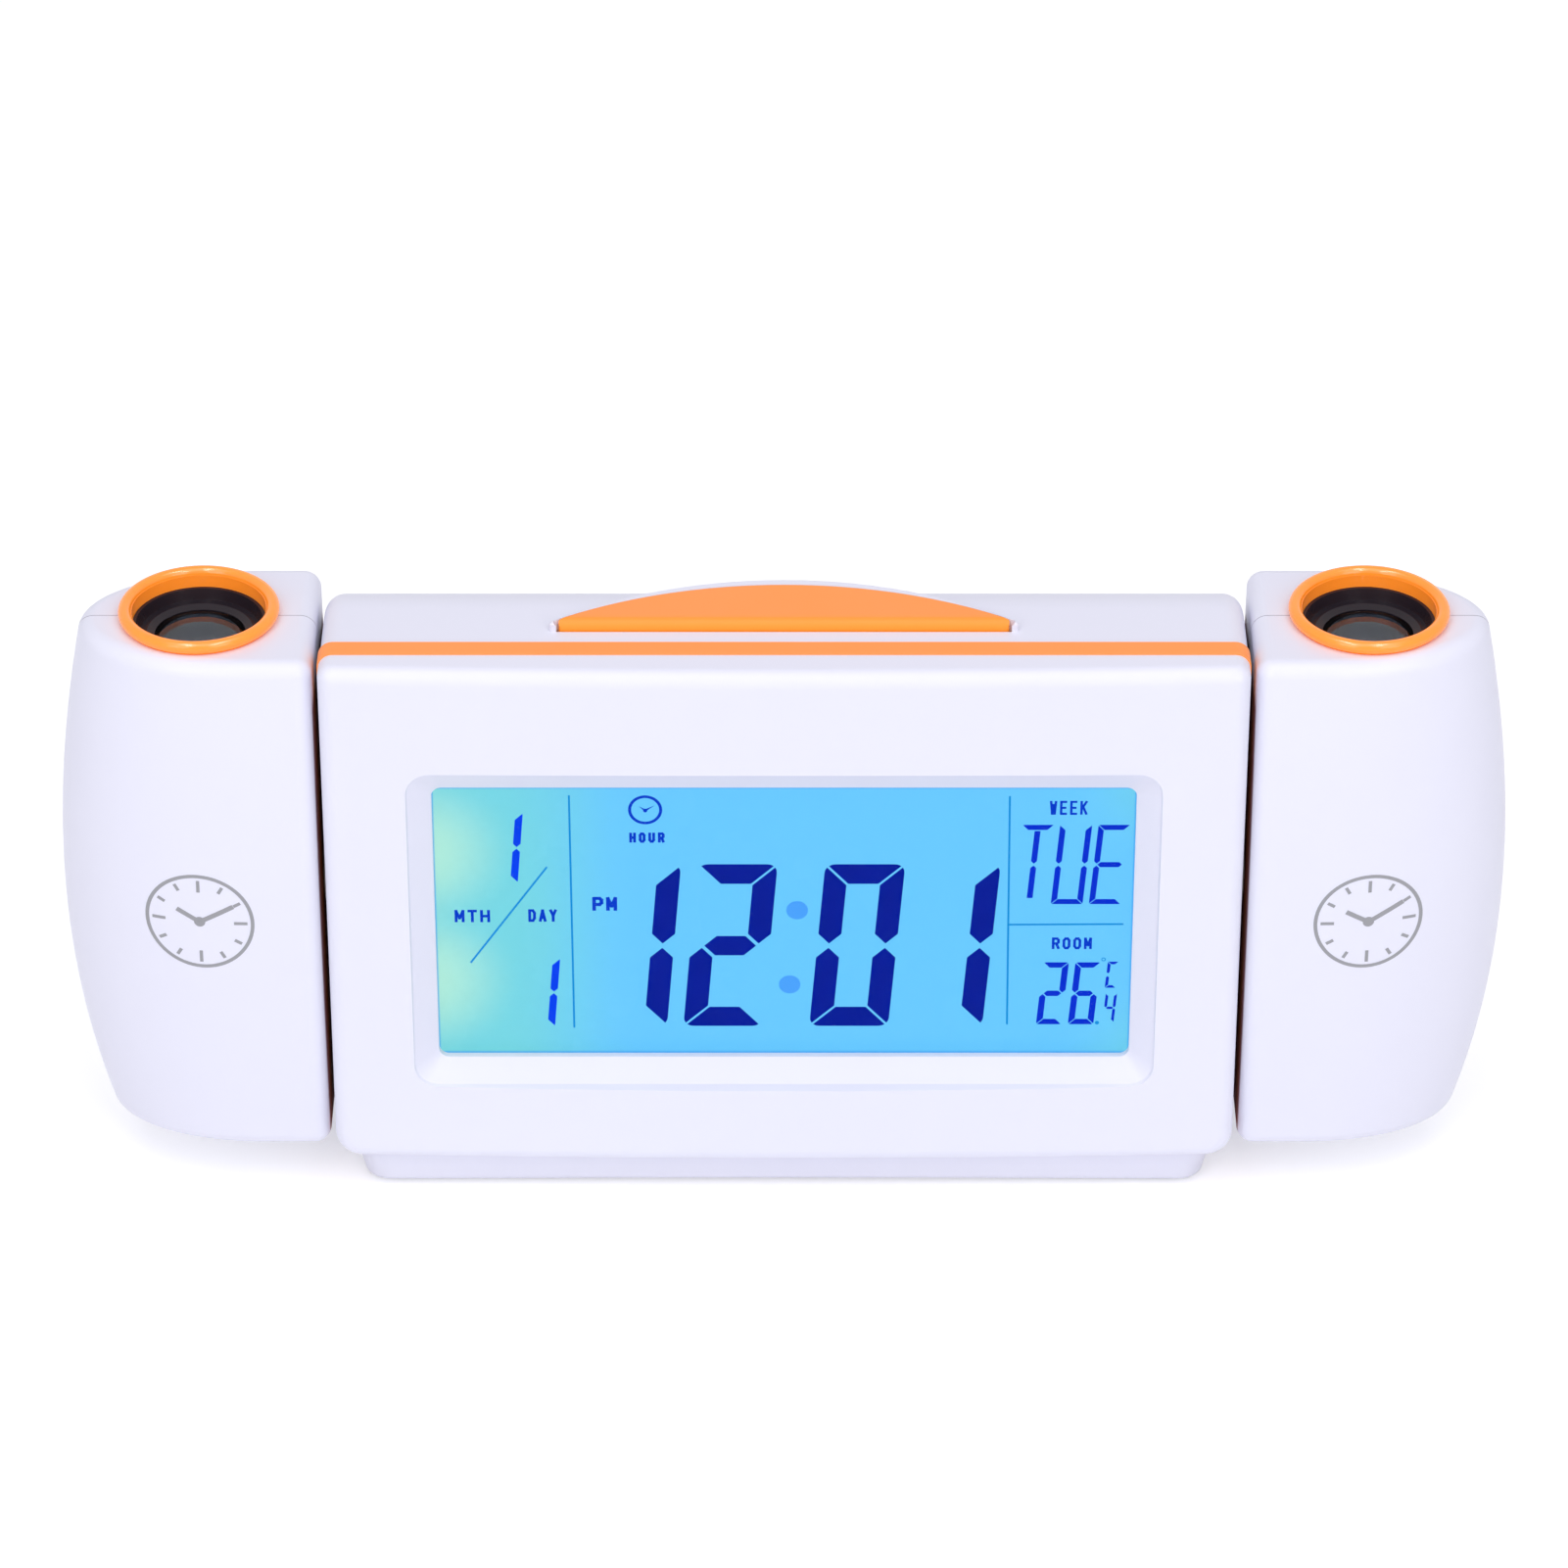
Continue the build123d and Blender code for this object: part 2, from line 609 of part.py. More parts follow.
with BuildPart() as rear_shell:
    add(shell_blank(0))
    # raised rim behind the snooze bar
    with BuildSketch(Plane.XY.offset(ceiling_z)):
        add(bow(rim_half_chord, bar_apex_y + bar_gap + rim_width, bar_front_y - bar_gap))
    extrude(amount=wall + rim_height)
    fillet(rear_shell.edges().group_by(Axis.Z)[-1], rim_round)
    add(shell_blank(wall, overrun=1), mode=Mode.SUBTRACT)
    with BuildSketch(Plane.XY.offset(ceiling_z - wall)):
        add(crescent(bar_gap, bar_gap))
    extrude(amount=2 * wall + rim_height + 1, mode=Mode.SUBTRACT)
    # room for the bar's flange where the roof curves down
    with BuildSketch(Plane.XY.offset(bar_bottom_z - bar_travel)):
        add(crescent(bar_gap + bar_flange_reach + bar_gap, bar_gap + bar_flange_reach + bar_gap))
    extrude(amount=ceiling_z - bar_bottom_z + bar_travel, mode=Mode.SUBTRACT)
    # long bosses that the housing screws pass through
    with BuildSketch(facing_front(trim_rear_y)):
        with Locations(*body_screw_points):
            Circle(well_radius + boss_wall)
    extrude(amount=-(shell_depth - wall / 2))
    with BuildSketch(facing_front(head_seat_y)):
        with Locations(*body_screw_points):
            Circle(well_radius)
    extrude(amount=-shell_depth, mode=Mode.SUBTRACT)
    with BuildSketch(facing_front(trim_rear_y)):
        with Locations(*body_screw_points):
            Circle(screw_radius + screw_clearance)
    extrude(amount=-boss_seat, mode=Mode.SUBTRACT)
    # bearing bosses of the two pods
    for side in (-1, 1):
        with BuildSketch(facing_side(side * hub_boss_x)):
            with Locations((0, swivel_z)):
                Circle(hub_boss_radius)
        extrude(amount=side * (hub_boss_length + wall / 2))
        with BuildSketch(facing_side(side * hub_boss_x)):
            with Locations((0, swivel_z)):
                Circle(hub_radius + hub_gap)
        extrude(amount=side * (hub_boss_length + wall), mode=Mode.SUBTRACT)
    # posts for the snooze board, and for the key board
    with BuildSketch(Plane.XY.offset(snooze_board_z)):
        with Locations((-snooze_boss_spread, 0), (snooze_boss_spread, 0)):
            Circle(snooze_boss_radius)
            Circle(small_pilot, mode=Mode.SUBTRACT)
    extrude(amount=ceiling_z - snooze_board_z + wall / 2)
    with BuildSketch(facing_front(key_switch_y)):
        with Locations((-key_boss_spread, key_row_z), (key_boss_spread, key_row_z)):
            Circle(snooze_boss_radius)
            Circle(small_pilot, mode=Mode.SUBTRACT)
    extrude(amount=-(shell_inner_y - key_switch_y + wall / 4))
    # battery compartment
    with BuildSketch(facing_front(box_floor_y - box_wall)):
        with Locations((0, door_z)):
            Rectangle(door_width + 2 * box_wall, door_height + 2 * box_wall)
    extrude(amount=-(shell_inner_y - box_floor_y + box_wall + wall / 2))
    with BuildSketch(facing_front(box_floor_y)):
        with Locations((0, door_z)):
            Rectangle(box_length, box_height)
    extrude(amount=-(box_depth + door_thickness), mode=Mode.SUBTRACT)
    with BuildSketch(facing_front(door_inner_y)):
        with Locations((0, door_z)):
            RectangleRounded(door_width + 2 * door_gap, door_height + 2 * door_gap, 1.0)
    extrude(amount=-2 * door_thickness, mode=Mode.SUBTRACT)
    # slots for the contacts' solder tabs
    with BuildSketch(facing_front(box_floor_y - box_wall)):
        with Locations(*[(side * (box_length - contact_plate) / 2, door_z) for side in (-1, 1)]):
            Rectangle(contact_plate + 2 * flange_gap, tab_width + 2 * flange_gap)
    extrude(amount=-(box_wall + flange_gap), mode=Mode.SUBTRACT)
    # notches for the lugs on the door's lower edge
    with BuildSketch(facing_front(door_inner_y)):
        with Locations(*[(x, door_z - box_height / 2) for x in (-door_lug_spread, door_lug_spread)]):
            Rectangle(door_lug[0] + 2 * door_gap, 2 * (door_lug[1] - door_ledge) + 2 * door_gap)
    extrude(amount=door_lug[2] + door_gap, mode=Mode.SUBTRACT)
    # openings for the keys, the selector, the jack and the vents
    with BuildSketch(facing_front(shell_inner_y - wall)):
        with Locations(*[(x, key_row_z) for x in key_xs]):
            SlotOverall(key_size[0] + 2 * key_gap, key_size[1] + 2 * key_gap)
        with Locations((selector_middle, selector_z)):
            Rectangle(
                selector_knob[0] + selector_travel + 2 * selector_slot_gap,
                selector_knob[1] + 2 * selector_slot_gap,
            )
        with Locations((jack_x, jack_z)):
            Circle(jack_nose_radius + jack_gap)
        with Locations(*[(vent_x, z) for z in vent_heights]):
            SlotOverall(*vent_slot)
        with Locations((buzzer_x, buzzer_z)):
            Circle(grille_hole_radius)
        for ring, count in zip(grille_radii, grille_counts):
            with Locations((buzzer_x, buzzer_z)):
                with PolarLocations(ring, count):
                    Circle(grille_hole_radius)
    extrude(amount=-3 * wall, mode=Mode.SUBTRACT)
    # stepped ring that holds the buzzer disc
    ring_radius = buzzer_radius + buzzer_gap
    with BuildSketch(facing_front(buzzer_face_y)):
        with Locations((buzzer_x, buzzer_z)):
            Circle(ring_radius + buzzer_step)
            Circle(ring_radius, mode=Mode.SUBTRACT)
    extrude(amount=-(buzzer_standoff + buzzer_plate + buzzer_ceramic + wall / 4))
    with BuildSketch(facing_front(shell_inner_y - buzzer_standoff)):
        with Locations((buzzer_x, buzzer_z)):
            Circle(ring_radius + buzzer_step / 2)
            Circle(ring_radius - buzzer_step, mode=Mode.SUBTRACT)
    extrude(amount=-(buzzer_standoff + wall / 4))
    # pilot bosses for the base screws
    with BuildSketch(Plane.XY.offset(body_bottom + wall / 2)):
        with Locations((-base_screw_spread, base_screw_y), (base_screw_spread, base_screw_y)):
            Circle(pilot_radius + boss_wall)
    extrude(amount=case_screw_length - base_boss_seat)
    with BuildSketch(Plane.XY.offset(body_bottom)):
        with Locations((-base_screw_spread, base_screw_y), (base_screw_spread, base_screw_y)):
            Circle(pilot_radius)
    extrude(amount=case_screw_length - base_boss_seat + joint_gap, mode=Mode.SUBTRACT)


# ================================================================ base and feet
foot_points = [(side * foot_spread, y) for side in (-1, 1) for y in foot_ys]
base_screw_points = [(-base_screw_spread, base_screw_y), (base_screw_spread, base_screw_y)]
base_seat_z = body_bottom - base_boss_seat  # underside of the screw heads' seat

with BuildPart() as base_foot:
    with BuildSketch(facing_front(base_rear_y)):
        with BuildLine():
            ThreePointArc(
                (-base_bottom_width / 2, foot_proud),
                (0, foot_proud + base_arch),
                (base_bottom_width / 2, foot_proud),
            )
            Polyline(
                (base_bottom_width / 2, foot_proud),
                (base_top_width / 2, body_bottom),
                (-base_top_width / 2, body_bottom),
                (-base_bottom_width / 2, foot_proud),
            )
        make_face()
    extrude(amount=base_rear_y - base_front_y)
    uprights = base_foot.faces().sort_by(Axis.X)[0].edges() + base_foot.faces().sort_by(Axis.X)[-1].edges()
    fillet(uprights.filter_by(Axis.Y, reverse=True), base_corner)
    fillet(base_foot.faces().sort_by(Axis.Z)[0].edges(), base_round)
    # pocket under the housing
    with BuildSketch(Plane.XY.offset(foot_proud + base_floor)):
        with Locations((0, (base_front_y + base_wall + base_cover_y) / 2)):
            RectangleRounded(
                base_bottom_width - 2 * base_wall,
                base_cover_y - base_front_y - base_wall,
                base_corner - base_wall,
            )
    extrude(amount=body_bottom, mode=Mode.SUBTRACT)
    # step that clears the trim band
    with BuildSketch(Plane.XY.offset(body_bottom - 2 * trim_proud)):
        with Locations((0, trim_rear_y + joint_gap)):
            Rectangle(base_top_width, 2 * trim_thickness, align=(Align.CENTER, Align.MAX))
    extrude(amount=body_bottom, mode=Mode.SUBTRACT)
    # screw bosses with wells from below
    with BuildSketch(Plane.XY.offset(foot_proud + base_floor / 2)):
        with Locations(*base_screw_points):
            Circle(well_radius + boss_wall)
    extrude(amount=body_bottom - foot_proud - base_floor / 2)
    with BuildSketch():
        with Locations(*base_screw_points):
            Circle(well_radius)
    extrude(amount=base_seat_z, mode=Mode.SUBTRACT)
    with BuildSketch():
        with Locations(*base_screw_points):
            Circle(screw_radius + screw_clearance)
    extrude(amount=body_bottom, mode=Mode.SUBTRACT)
    # recesses for the feet
    with BuildSketch():
        with Locations(*foot_points):
            Circle(foot_radius + foot_gap)
    extrude(amount=foot_proud + foot_recess, mode=Mode.SUBTRACT)

with BuildPart() as rubber_feet:
    with BuildSketch():
        with Locations(*foot_points):
            Circle(foot_radius)
    extrude(amount=foot_proud + foot_recess)
    fillet(rubber_feet.edges().group_by(Axis.Z)[0], foot_proud / 2)

# ================================================================ display stack
with BuildPart() as display_window:
    with BuildSketch(facing_front(window_rear_y)):
        with Locations((0, display_z)):
            RectangleRounded(window_width, window_height, view_corner)
    extrude(amount=window_thickness)

with BuildPart() as display_glass:
    with BuildSketch(facing_front(glass_rear_y)):
        with Locations((0, display_z)):
            Rectangle(glass_width, glass_height)
    extrude(amount=glass_thickness)

strip_z = display_z - glass_height / 2 + strip_height / 2 + stack_gap
guide_bottom = strip_z + strip_height / 2 + 4 * stack_gap
guide_top = display_z + glass_height / 2
guide_left = -glass_width / 2 + lamp_size[0] + stack_gap
guide_right = glass_width / 2

with BuildPart() as light_guide:
    with BuildSketch(facing_front(guide_rear_y)):
        with Locations(((guide_left + guide_right) / 2, (guide_bottom + guide_top) / 2)):
            Rectangle(guide_right - guide_left, guide_top - guide_bottom)
    extrude(amount=guide_thickness)

with BuildPart() as backlight_lamps:
    with BuildSketch(facing_front(guide_rear_y)):
        with Locations(*[(guide_left - stack_gap - lamp_size[0] / 2, display_z + z) for z in lamp_offsets]):
            Rectangle(lamp_size[0], lamp_size[2])
    extrude(amount=lamp_size[1])

with BuildPart() as contact_strip:
    with BuildSketch(facing_front(main_board_y)):
        with Locations((0, strip_z)):
            Rectangle(strip_length, strip_height)
    extrude(amount=main_board_y - glass_rear_y)

with BuildPart() as display_frame:
    with BuildSketch(facing_front(frame_rear_y)):
        with Locations((0, display_z)):
            Rectangle(frame_width, frame_height)
    extrude(amount=frame_rear_y - window_seat_y)
    with BuildSketch(facing_front(frame_lip_y)):
        with Locations((0, display_z)):
            Rectangle(pocket_width, pocket_height)
    extrude(amount=frame_rear_y - window_seat_y, mode=Mode.SUBTRACT)
    with BuildSketch(facing_front(frame_rear_y)):
        with Locations(((guide_left + guide_right) / 2, (guide_bottom + guide_top) / 2)):
            Rectangle(
                guide_right - guide_left - 2 * frame_overlap,
                guide_top - guide_bottom - 2 * frame_overlap,
            )
        with Locations((0, strip_z)):
            Rectangle(strip_length + 2 * pocket_gap, strip_height + 2 * pocket_gap)
    extrude(amount=frame_lip, mode=Mode.SUBTRACT)
    with BuildSketch(facing_front(frame_rear_y)):
        with Locations((-ear_spread, display_z), (ear_spread, display_z)):
            SlotCenterToCenter(frame_height + 2 * ear_reach, 2 * ear_radius, rotation=90)
        with Locations((0, display_z)):
            Rectangle(pocket_width, pocket_height, mode=Mode.SUBTRACT)
        with Locations(*ear_points):
            Circle(small_screw_radius + screw_clearance, mode=Mode.SUBTRACT)
    extrude(amount=ear_thickness)

# ================================================================ boards
with BuildPart() as main_board:
    with BuildSketch(facing_front(main_board_rear_y)):
        with Locations((0, display_z)):
            RectangleRounded(main_board_width, main_board_height, board_corner)
        with Locations(*ear_points):
            Circle(small_screw_radius + screw_clearance, mode=Mode.SUBTRACT)
    extrude(amount=board_thickness)

with BuildPart() as board_components:
    with BuildSketch(facing_front(main_board_rear_y)):
        with Locations((chip_place[0], display_z + chip_place[1])):
            Circle(chip_size / 2)
    extrude(amount=-blob_height)
    fillet(board_components.edges().group_by(Axis.Y)[-1], blob_height * 0.8)
    with BuildSketch(facing_front(main_board_rear_y)):
        with Locations((crystal_place[0], display_z + crystal_place[1])):
            SlotOverall(*crystal_size)
        with Locations(*[(x, display_z + z) for x, z in capacitor_places]):
            Circle(capacitor_radius)
        with Locations(*[(side * socket_x, socket_z + socket_size[1] / 2) for side in (-1, 1)]):
            Rectangle(*socket_size)
    extrude(amount=-socket_height)
    # thermistor on the key board, beside the vents
    with BuildSketch(facing_front(key_switch_y)):
        with Locations((thermistor_x, key_row_z - thermistor_drop)):
            Circle(thermistor_radius)
    extrude(amount=-(switch_height + plunger_height))

with BuildPart() as key_board:
    with BuildSketch(facing_front(key_switch_y)):
        with Locations((0, key_row_z)):
            RectangleRounded(*key_board_size, 1.0)
        with Locations((-key_boss_spread, key_row_z), (key_boss_spread, key_row_z)):
            Circle(small_screw_radius + screw_clearance, mode=Mode.SUBTRACT)
    extrude(amount=board_thickness)

with BuildPart() as key_switches:
    with BuildSketch(facing_front(key_switch_y)):
        with Locations(*[(x, key_row_z) for x in key_xs]):
            Rectangle(switch_side, switch_side)
    extrude(amount=-switch_height)
    with BuildSketch(facing_front(key_switch_y + switch_height)):
        with Locations(*[(x, key_row_z) for x in key_xs]):
            Circle(plunger_radius)
    extrude(amount=-plunger_height)

with BuildPart() as snooze_board:
    with BuildSketch(Plane.XY.offset(snooze_board_z - board_thickness)):
        RectangleRounded(snooze_board_length, snooze_board_depth, 1.0)
        with Locations((-snooze_boss_spread, 0), (snooze_boss_spread, 0)):
            Circle(small_screw_radius + screw_clearance, mode=Mode.SUBTRACT)
        with Locations((-post_spread, post_y), (post_spread, post_y)):
            Circle(post_radius + post_gap, mode=Mode.SUBTRACT)
    extrude(amount=board_thickness)

with BuildPart() as snooze_switch:
    with BuildSketch(Plane.XY.offset(snooze_board_z)):
        Rectangle(switch_side, switch_side)
    extrude(amount=switch_height)
    with BuildSketch(Plane.XY.offset(snooze_board_z + switch_height)):
        Circle(plunger_radius)
    extrude(amount=plunger_height)

# ================================================================ snooze bar and its springs
with BuildPart() as snooze_bar:
    # a bar with a rounded front edge, cut to the crescent
    with BuildSketch(Plane.YZ) as bar_profile:
        with Locations((bar_front_y, bar_bottom_z)):
            Rectangle(2 * bar_arc_radius, bar_top_z - bar_bottom_z, align=(Align.MIN, Align.MIN))
        fillet(bar_profile.vertices().sort_by(Axis.X)[:2].sort_by(Axis.Y)[-1], bar_front_round)
    extrude(amount=half_width, both=True)
    with BuildSketch(Plane.XY.offset(bar_bottom_z)):
        add(crescent(0, 0))
    extrude(amount=bar_top_z - bar_bottom_z, mode=Mode.INTERSECT)
    with BuildSketch(Plane.XY.offset(bar_bottom_z)):
        add(crescent(bar_gap + bar_flange_reach, bar_gap + bar_flange_reach))
    extrude(amount=bar_flange)
    # hollow underneath, with a pad over the switch and two spring posts
    with BuildSketch(Plane.XY.offset(bar_bottom_z)):
        add(crescent(-bar_wall, -bar_wall))
        with Locations((0, 0)):
            Circle(plunger_radius + bar_wall / 2, mode=Mode.SUBTRACT)
        with Locations((-post_spread, post_y), (post_spread, post_y)):
            Circle(post_radius + post_root, mode=Mode.SUBTRACT)
    extrude(amount=bar_top_z - bar_wall - bar_bottom_z, mode=Mode.SUBTRACT)
    with BuildSketch(Plane.XY.offset(bar_bottom_z)):
        with Locations((-post_spread, post_y), (post_spread, post_y)):
            Circle(post_radius)
    extrude(amount=-(bar_bottom_z - snooze_board_z + board_thickness + post_below_board))


def spring(bottom, top, radius):
    """A coil spring about Z, with its ends just inside bottom and top."""
    rise = top - bottom - 2 * spring_wire
    with BuildPart() as coil:
        with BuildLine(Plane.XY.offset(bottom + spring_wire)):
            Helix(pitch=rise / spring_turns, height=rise, radius=radius)
        with BuildSketch(Plane(origin=(radius, 0, bottom + spring_wire), x_dir=(1, 0, 0), z_dir=(0, 1, 0))):
            Circle(spring_wire)
        sweep(is_frenet=True)
    return coil.part


spring_radius = post_radius + spring_gap + spring_wire
snooze_springs = placed(
    spring(snooze_board_z, bar_bottom_z, spring_radius),
    [Plane(origin=(side * post_spread, post_y, 0)) for side in (-1, 1)],
)


# ================================================================ keys on the back
def key(x):
    """One rear key: a capsule cap through the wall, and a flange inside it."""
    flange_past = key_gap + key_flange_reach
    with BuildPart() as cap:
        with BuildSketch(facing_front(key_inner_y)):
            with Locations((x, key_row_z)):
                SlotOverall(key_size[0] + 2 * flange_past, key_size[1] + 2 * flange_past)
        extrude(amount=-key_flange)
        with BuildSketch(facing_front(key_inner_y)):
            with Locations((x, key_row_z)):
                SlotOverall(*key_size)
        extrude(amount=-(shell_rear_y + key_proud - key_inner_y))
        fillet(cap.edges().group_by(Axis.Y)[-1], key_round)
    return cap.part


keys = {name: key(x) for name, x in zip(key_names, key_xs)}

with BuildPart() as selector_switch:
    with BuildSketch(facing_front(shell_inner_y)):
        with Locations((selector_middle, selector_z)):
            Rectangle(selector_body[0], selector_body[1])
    extrude(amount=selector_body[2])
    with BuildSketch(facing_front(shell_inner_y)):
        with Locations((selector_middle, selector_z)):
            Rectangle(
                selector_knob[0] + selector_travel + 2 * selector_slot_gap,
                selector_knob[1] + 2 * selector_slot_gap,
            )
    extrude(amount=selector_body[2] / 2, mode=Mode.SUBTRACT)

with BuildPart() as selector_knob_piece:
    knob_root_y = shell_inner_y - selector_body[2] / 2 + press_gap
    with BuildSketch(facing_front(knob_root_y)):
        with Locations((selector_x, selector_z)):
            Rectangle(*selector_knob)
    extrude(amount=-(shell_rear_y + selector_proud - knob_root_y))
    fillet(selector_knob_piece.edges().group_by(Axis.Y)[-1], key_round)

# ================================================================ power jack and buzzer
with BuildPart() as power_jack:
    with BuildSketch(facing_front(shell_inner_y)):
        with Locations((jack_x, jack_z)):
            Rectangle(jack_body[0], jack_body[1])
    extrude(amount=jack_body[2])
    with BuildSketch(facing_front(shell_inner_y)):
        with Locations((jack_x, jack_z)):
            Circle(jack_nose_radius)
    extrude(amount=-(wall - jack_recess))
    with BuildSketch(facing_front(shell_rear_y)):
        with Locations((jack_x, jack_z)):
            Circle(jack_bore_radius)
            Circle(jack_pin_radius, mode=Mode.SUBTRACT)
    extrude(amount=jack_bore_depth, mode=Mode.SUBTRACT)

with BuildPart() as buzzer:
    with BuildSketch(facing_front(shell_inner_y - buzzer_standoff)):
        with Locations((buzzer_x, buzzer_z)):
            Circle(buzzer_radius)
    extrude(amount=buzzer_plate)
    with BuildSketch(facing_front(shell_inner_y - buzzer_standoff - buzzer_plate)):
        with Locations((buzzer_x, buzzer_z)):
            Circle(buzzer_ceramic_radius)
    extrude(amount=buzzer_ceramic)

# ================================================================ batteries, contacts and door
battery_spring_ends = [
    ((1 if n % 2 else -1) * -(box_length / 2 - contact_plate), z) for n, z in enumerate(cell_heights)
]
battery_springs = placed(
    spring(0, contact_room - contact_plate, battery_spring_radius),
    [
        Plane(origin=(x, cell_y, z), x_dir=(0, 1, 0), z_dir=(-1 if x > 0 else 1, 0, 0))
        for x, z in battery_spring_ends
    ],
)

with BuildPart() as battery_cells:
    for n, z in enumerate(cell_heights):
        nub_side = 1 if n % 2 else -1
        can_start = -nub_side * (cell_length + cell_nub) / 2
        with BuildSketch(facing_side(can_start)):
            with Locations((cell_y, z)):
                Circle(cell_radius)
        extrude(amount=nub_side * cell_length)
        with BuildSketch(facing_side(can_start + nub_side * cell_length)):
            with Locations((cell_y, z)):
                Circle(cell_nub_radius)
        extrude(amount=nub_side * cell_nub)

with BuildPart() as battery_contacts:
    contact_height = cell_pitch - 2 * cell_gap
    for side in (-1, 1):
        wall_x = side * box_length / 2
        for n, z in enumerate(cell_heights):
            with BuildSketch(facing_side(wall_x)):
                with Locations((cell_y, z)):
                    Rectangle(2 * cell_radius, contact_height)
            extrude(amount=-side * contact_plate)
            # a dimple meets the nub of every cell
            if side == (1 if n % 2 else -1):
                with BuildSketch(facing_side(wall_x - side * contact_plate)):
                    with Locations((cell_y, z)):
                        Circle(cell_nub_radius)
                with BuildSketch(facing_side(wall_x - side * contact_room)):
                    with Locations((cell_y, z)):
                        Circle(cell_nub_radius * 0.6)
                loft(ruled=True)
        # solder tab through the floor of the compartment
        with BuildSketch(facing_side(wall_x)):
            with Locations(((tab_y + cell_y) / 2, door_z)):
                Rectangle(cell_y - tab_y, tab_width)
        extrude(amount=-side * contact_plate)

with BuildPart() as battery_door:
    with BuildSketch(facing_front(door_inner_y)):
        with Locations((0, door_z)):
            RectangleRounded(door_width, door_height, 0.8)
    extrude(amount=-door_thickness)
    with BuildSketch(facing_front(door_inner_y)):
        with Locations(*[(x, door_z - box_height / 2) for x in (-door_lug_spread, door_lug_spread)]):
            Rectangle(door_lug[0], 2 * (door_lug[1] - door_ledge))
    extrude(amount=door_lug[2])
    # thumb recess with grip ribs near the upper edge
    thumb_z = door_z + door_height / 2 - thumb_drop
    with BuildSketch(facing_front(shell_rear_y)):
        with Locations((0, thumb_z)):
            SlotOverall(*thumb_recess)
    extrude(amount=thumb_depth, mode=Mode.SUBTRACT)
    with BuildSketch(facing_front(shell_rear_y)):
        for n in range(door_grip_count):
            with Locations((0, thumb_z + (n - (door_grip_count - 1) / 2) * grip_pitch)):
                SlotOverall(*grip_rib)
    extrude(amount=thumb_depth)

# ================================================================ screws
case_screw = screw(screw_radius, case_screw_length, head_radius, head_height)
case_screws = placed(
    case_screw,
    [Plane(origin=(x, head_seat_y, z), z_dir=(0, 1, 0)) for x, z in body_screw_points]
    + [Plane(origin=(x, y, base_seat_z), z_dir=(0, 0, -1)) for x, y in base_screw_points],
)
small_screw_length = 5.0
small_screw = screw(small_screw_radius, small_screw_length, small_head_radius, small_head_height)
board_screws = placed(
    small_screw,
    [Plane(origin=(x, main_board_rear_y, z), z_dir=(0, 1, 0)) for x, z in ear_points]
    + [Plane(origin=(side * key_boss_spread, key_board_y, key_row_z), z_dir=(0, -1, 0)) for side in (-1, 1)]
    + [
        Plane(origin=(side * snooze_boss_spread, 0, snooze_board_z - board_thickness), z_dir=(0, 0, -1))
        for side in (-1, 1)
    ],
)


# ================================================================ pod shells
def pod_share(z):
    """How far a height is from the waist towards the pod's end, squared, from 0 to 1."""
    end = pod_top if z > pod_waist else pod_bottom
    return ((z - pod_waist) / (end - pod_waist)) ** 2


def pod_blank(inset):
    """The right pod as a solid barrel, drawn in by inset on every side."""
    low = pod_bottom + inset
    high = pod_top - inset
    flat_end = pod_inner_x + pod_flat
    with BuildPart() as blank:
        for z in (low, (low + pod_waist) / 2, pod_waist, (high + pod_waist) / 2, high):
            end_reach = pod_reach_top if z > pod_waist else pod_reach_bottom
            end_depth = pod_depth_top if z > pod_waist else pod_depth_bottom
            outer = pod_inner_x + pod_reach + (end_reach - pod_reach) * pod_share(z) - inset
            depth = pod_depth + (end_depth - pod_depth) * pod_share(z) - inset
            with BuildSketch(Plane.XY.offset(z)) as section:
                with BuildLine():
                    Polyline(
                        (flat_end, depth),
                        (pod_inner_x + inset, depth),
                        (pod_inner_x + inset, -depth),
                        (flat_end, -depth),
                    )
                    EllipticalCenterArc((flat_end, 0), outer - flat_end, depth, -90, arc_size=180)
                make_face()
                fillet(section.vertices().group_by(Axis.X)[0], max(pod_inner_corner - inset, 0.4))
        loft()
    return blank.part


def rounded_pod():
    """The outside of the right pod, with its upper and lower edges rounded."""
    with BuildPart() as blank:
        add(pod_blank(0))
        fillet(blank.edges().group_by(Axis.Z)[-1] + blank.edges().group_by(Axis.Z)[0], pod_edge)
    return blank.part


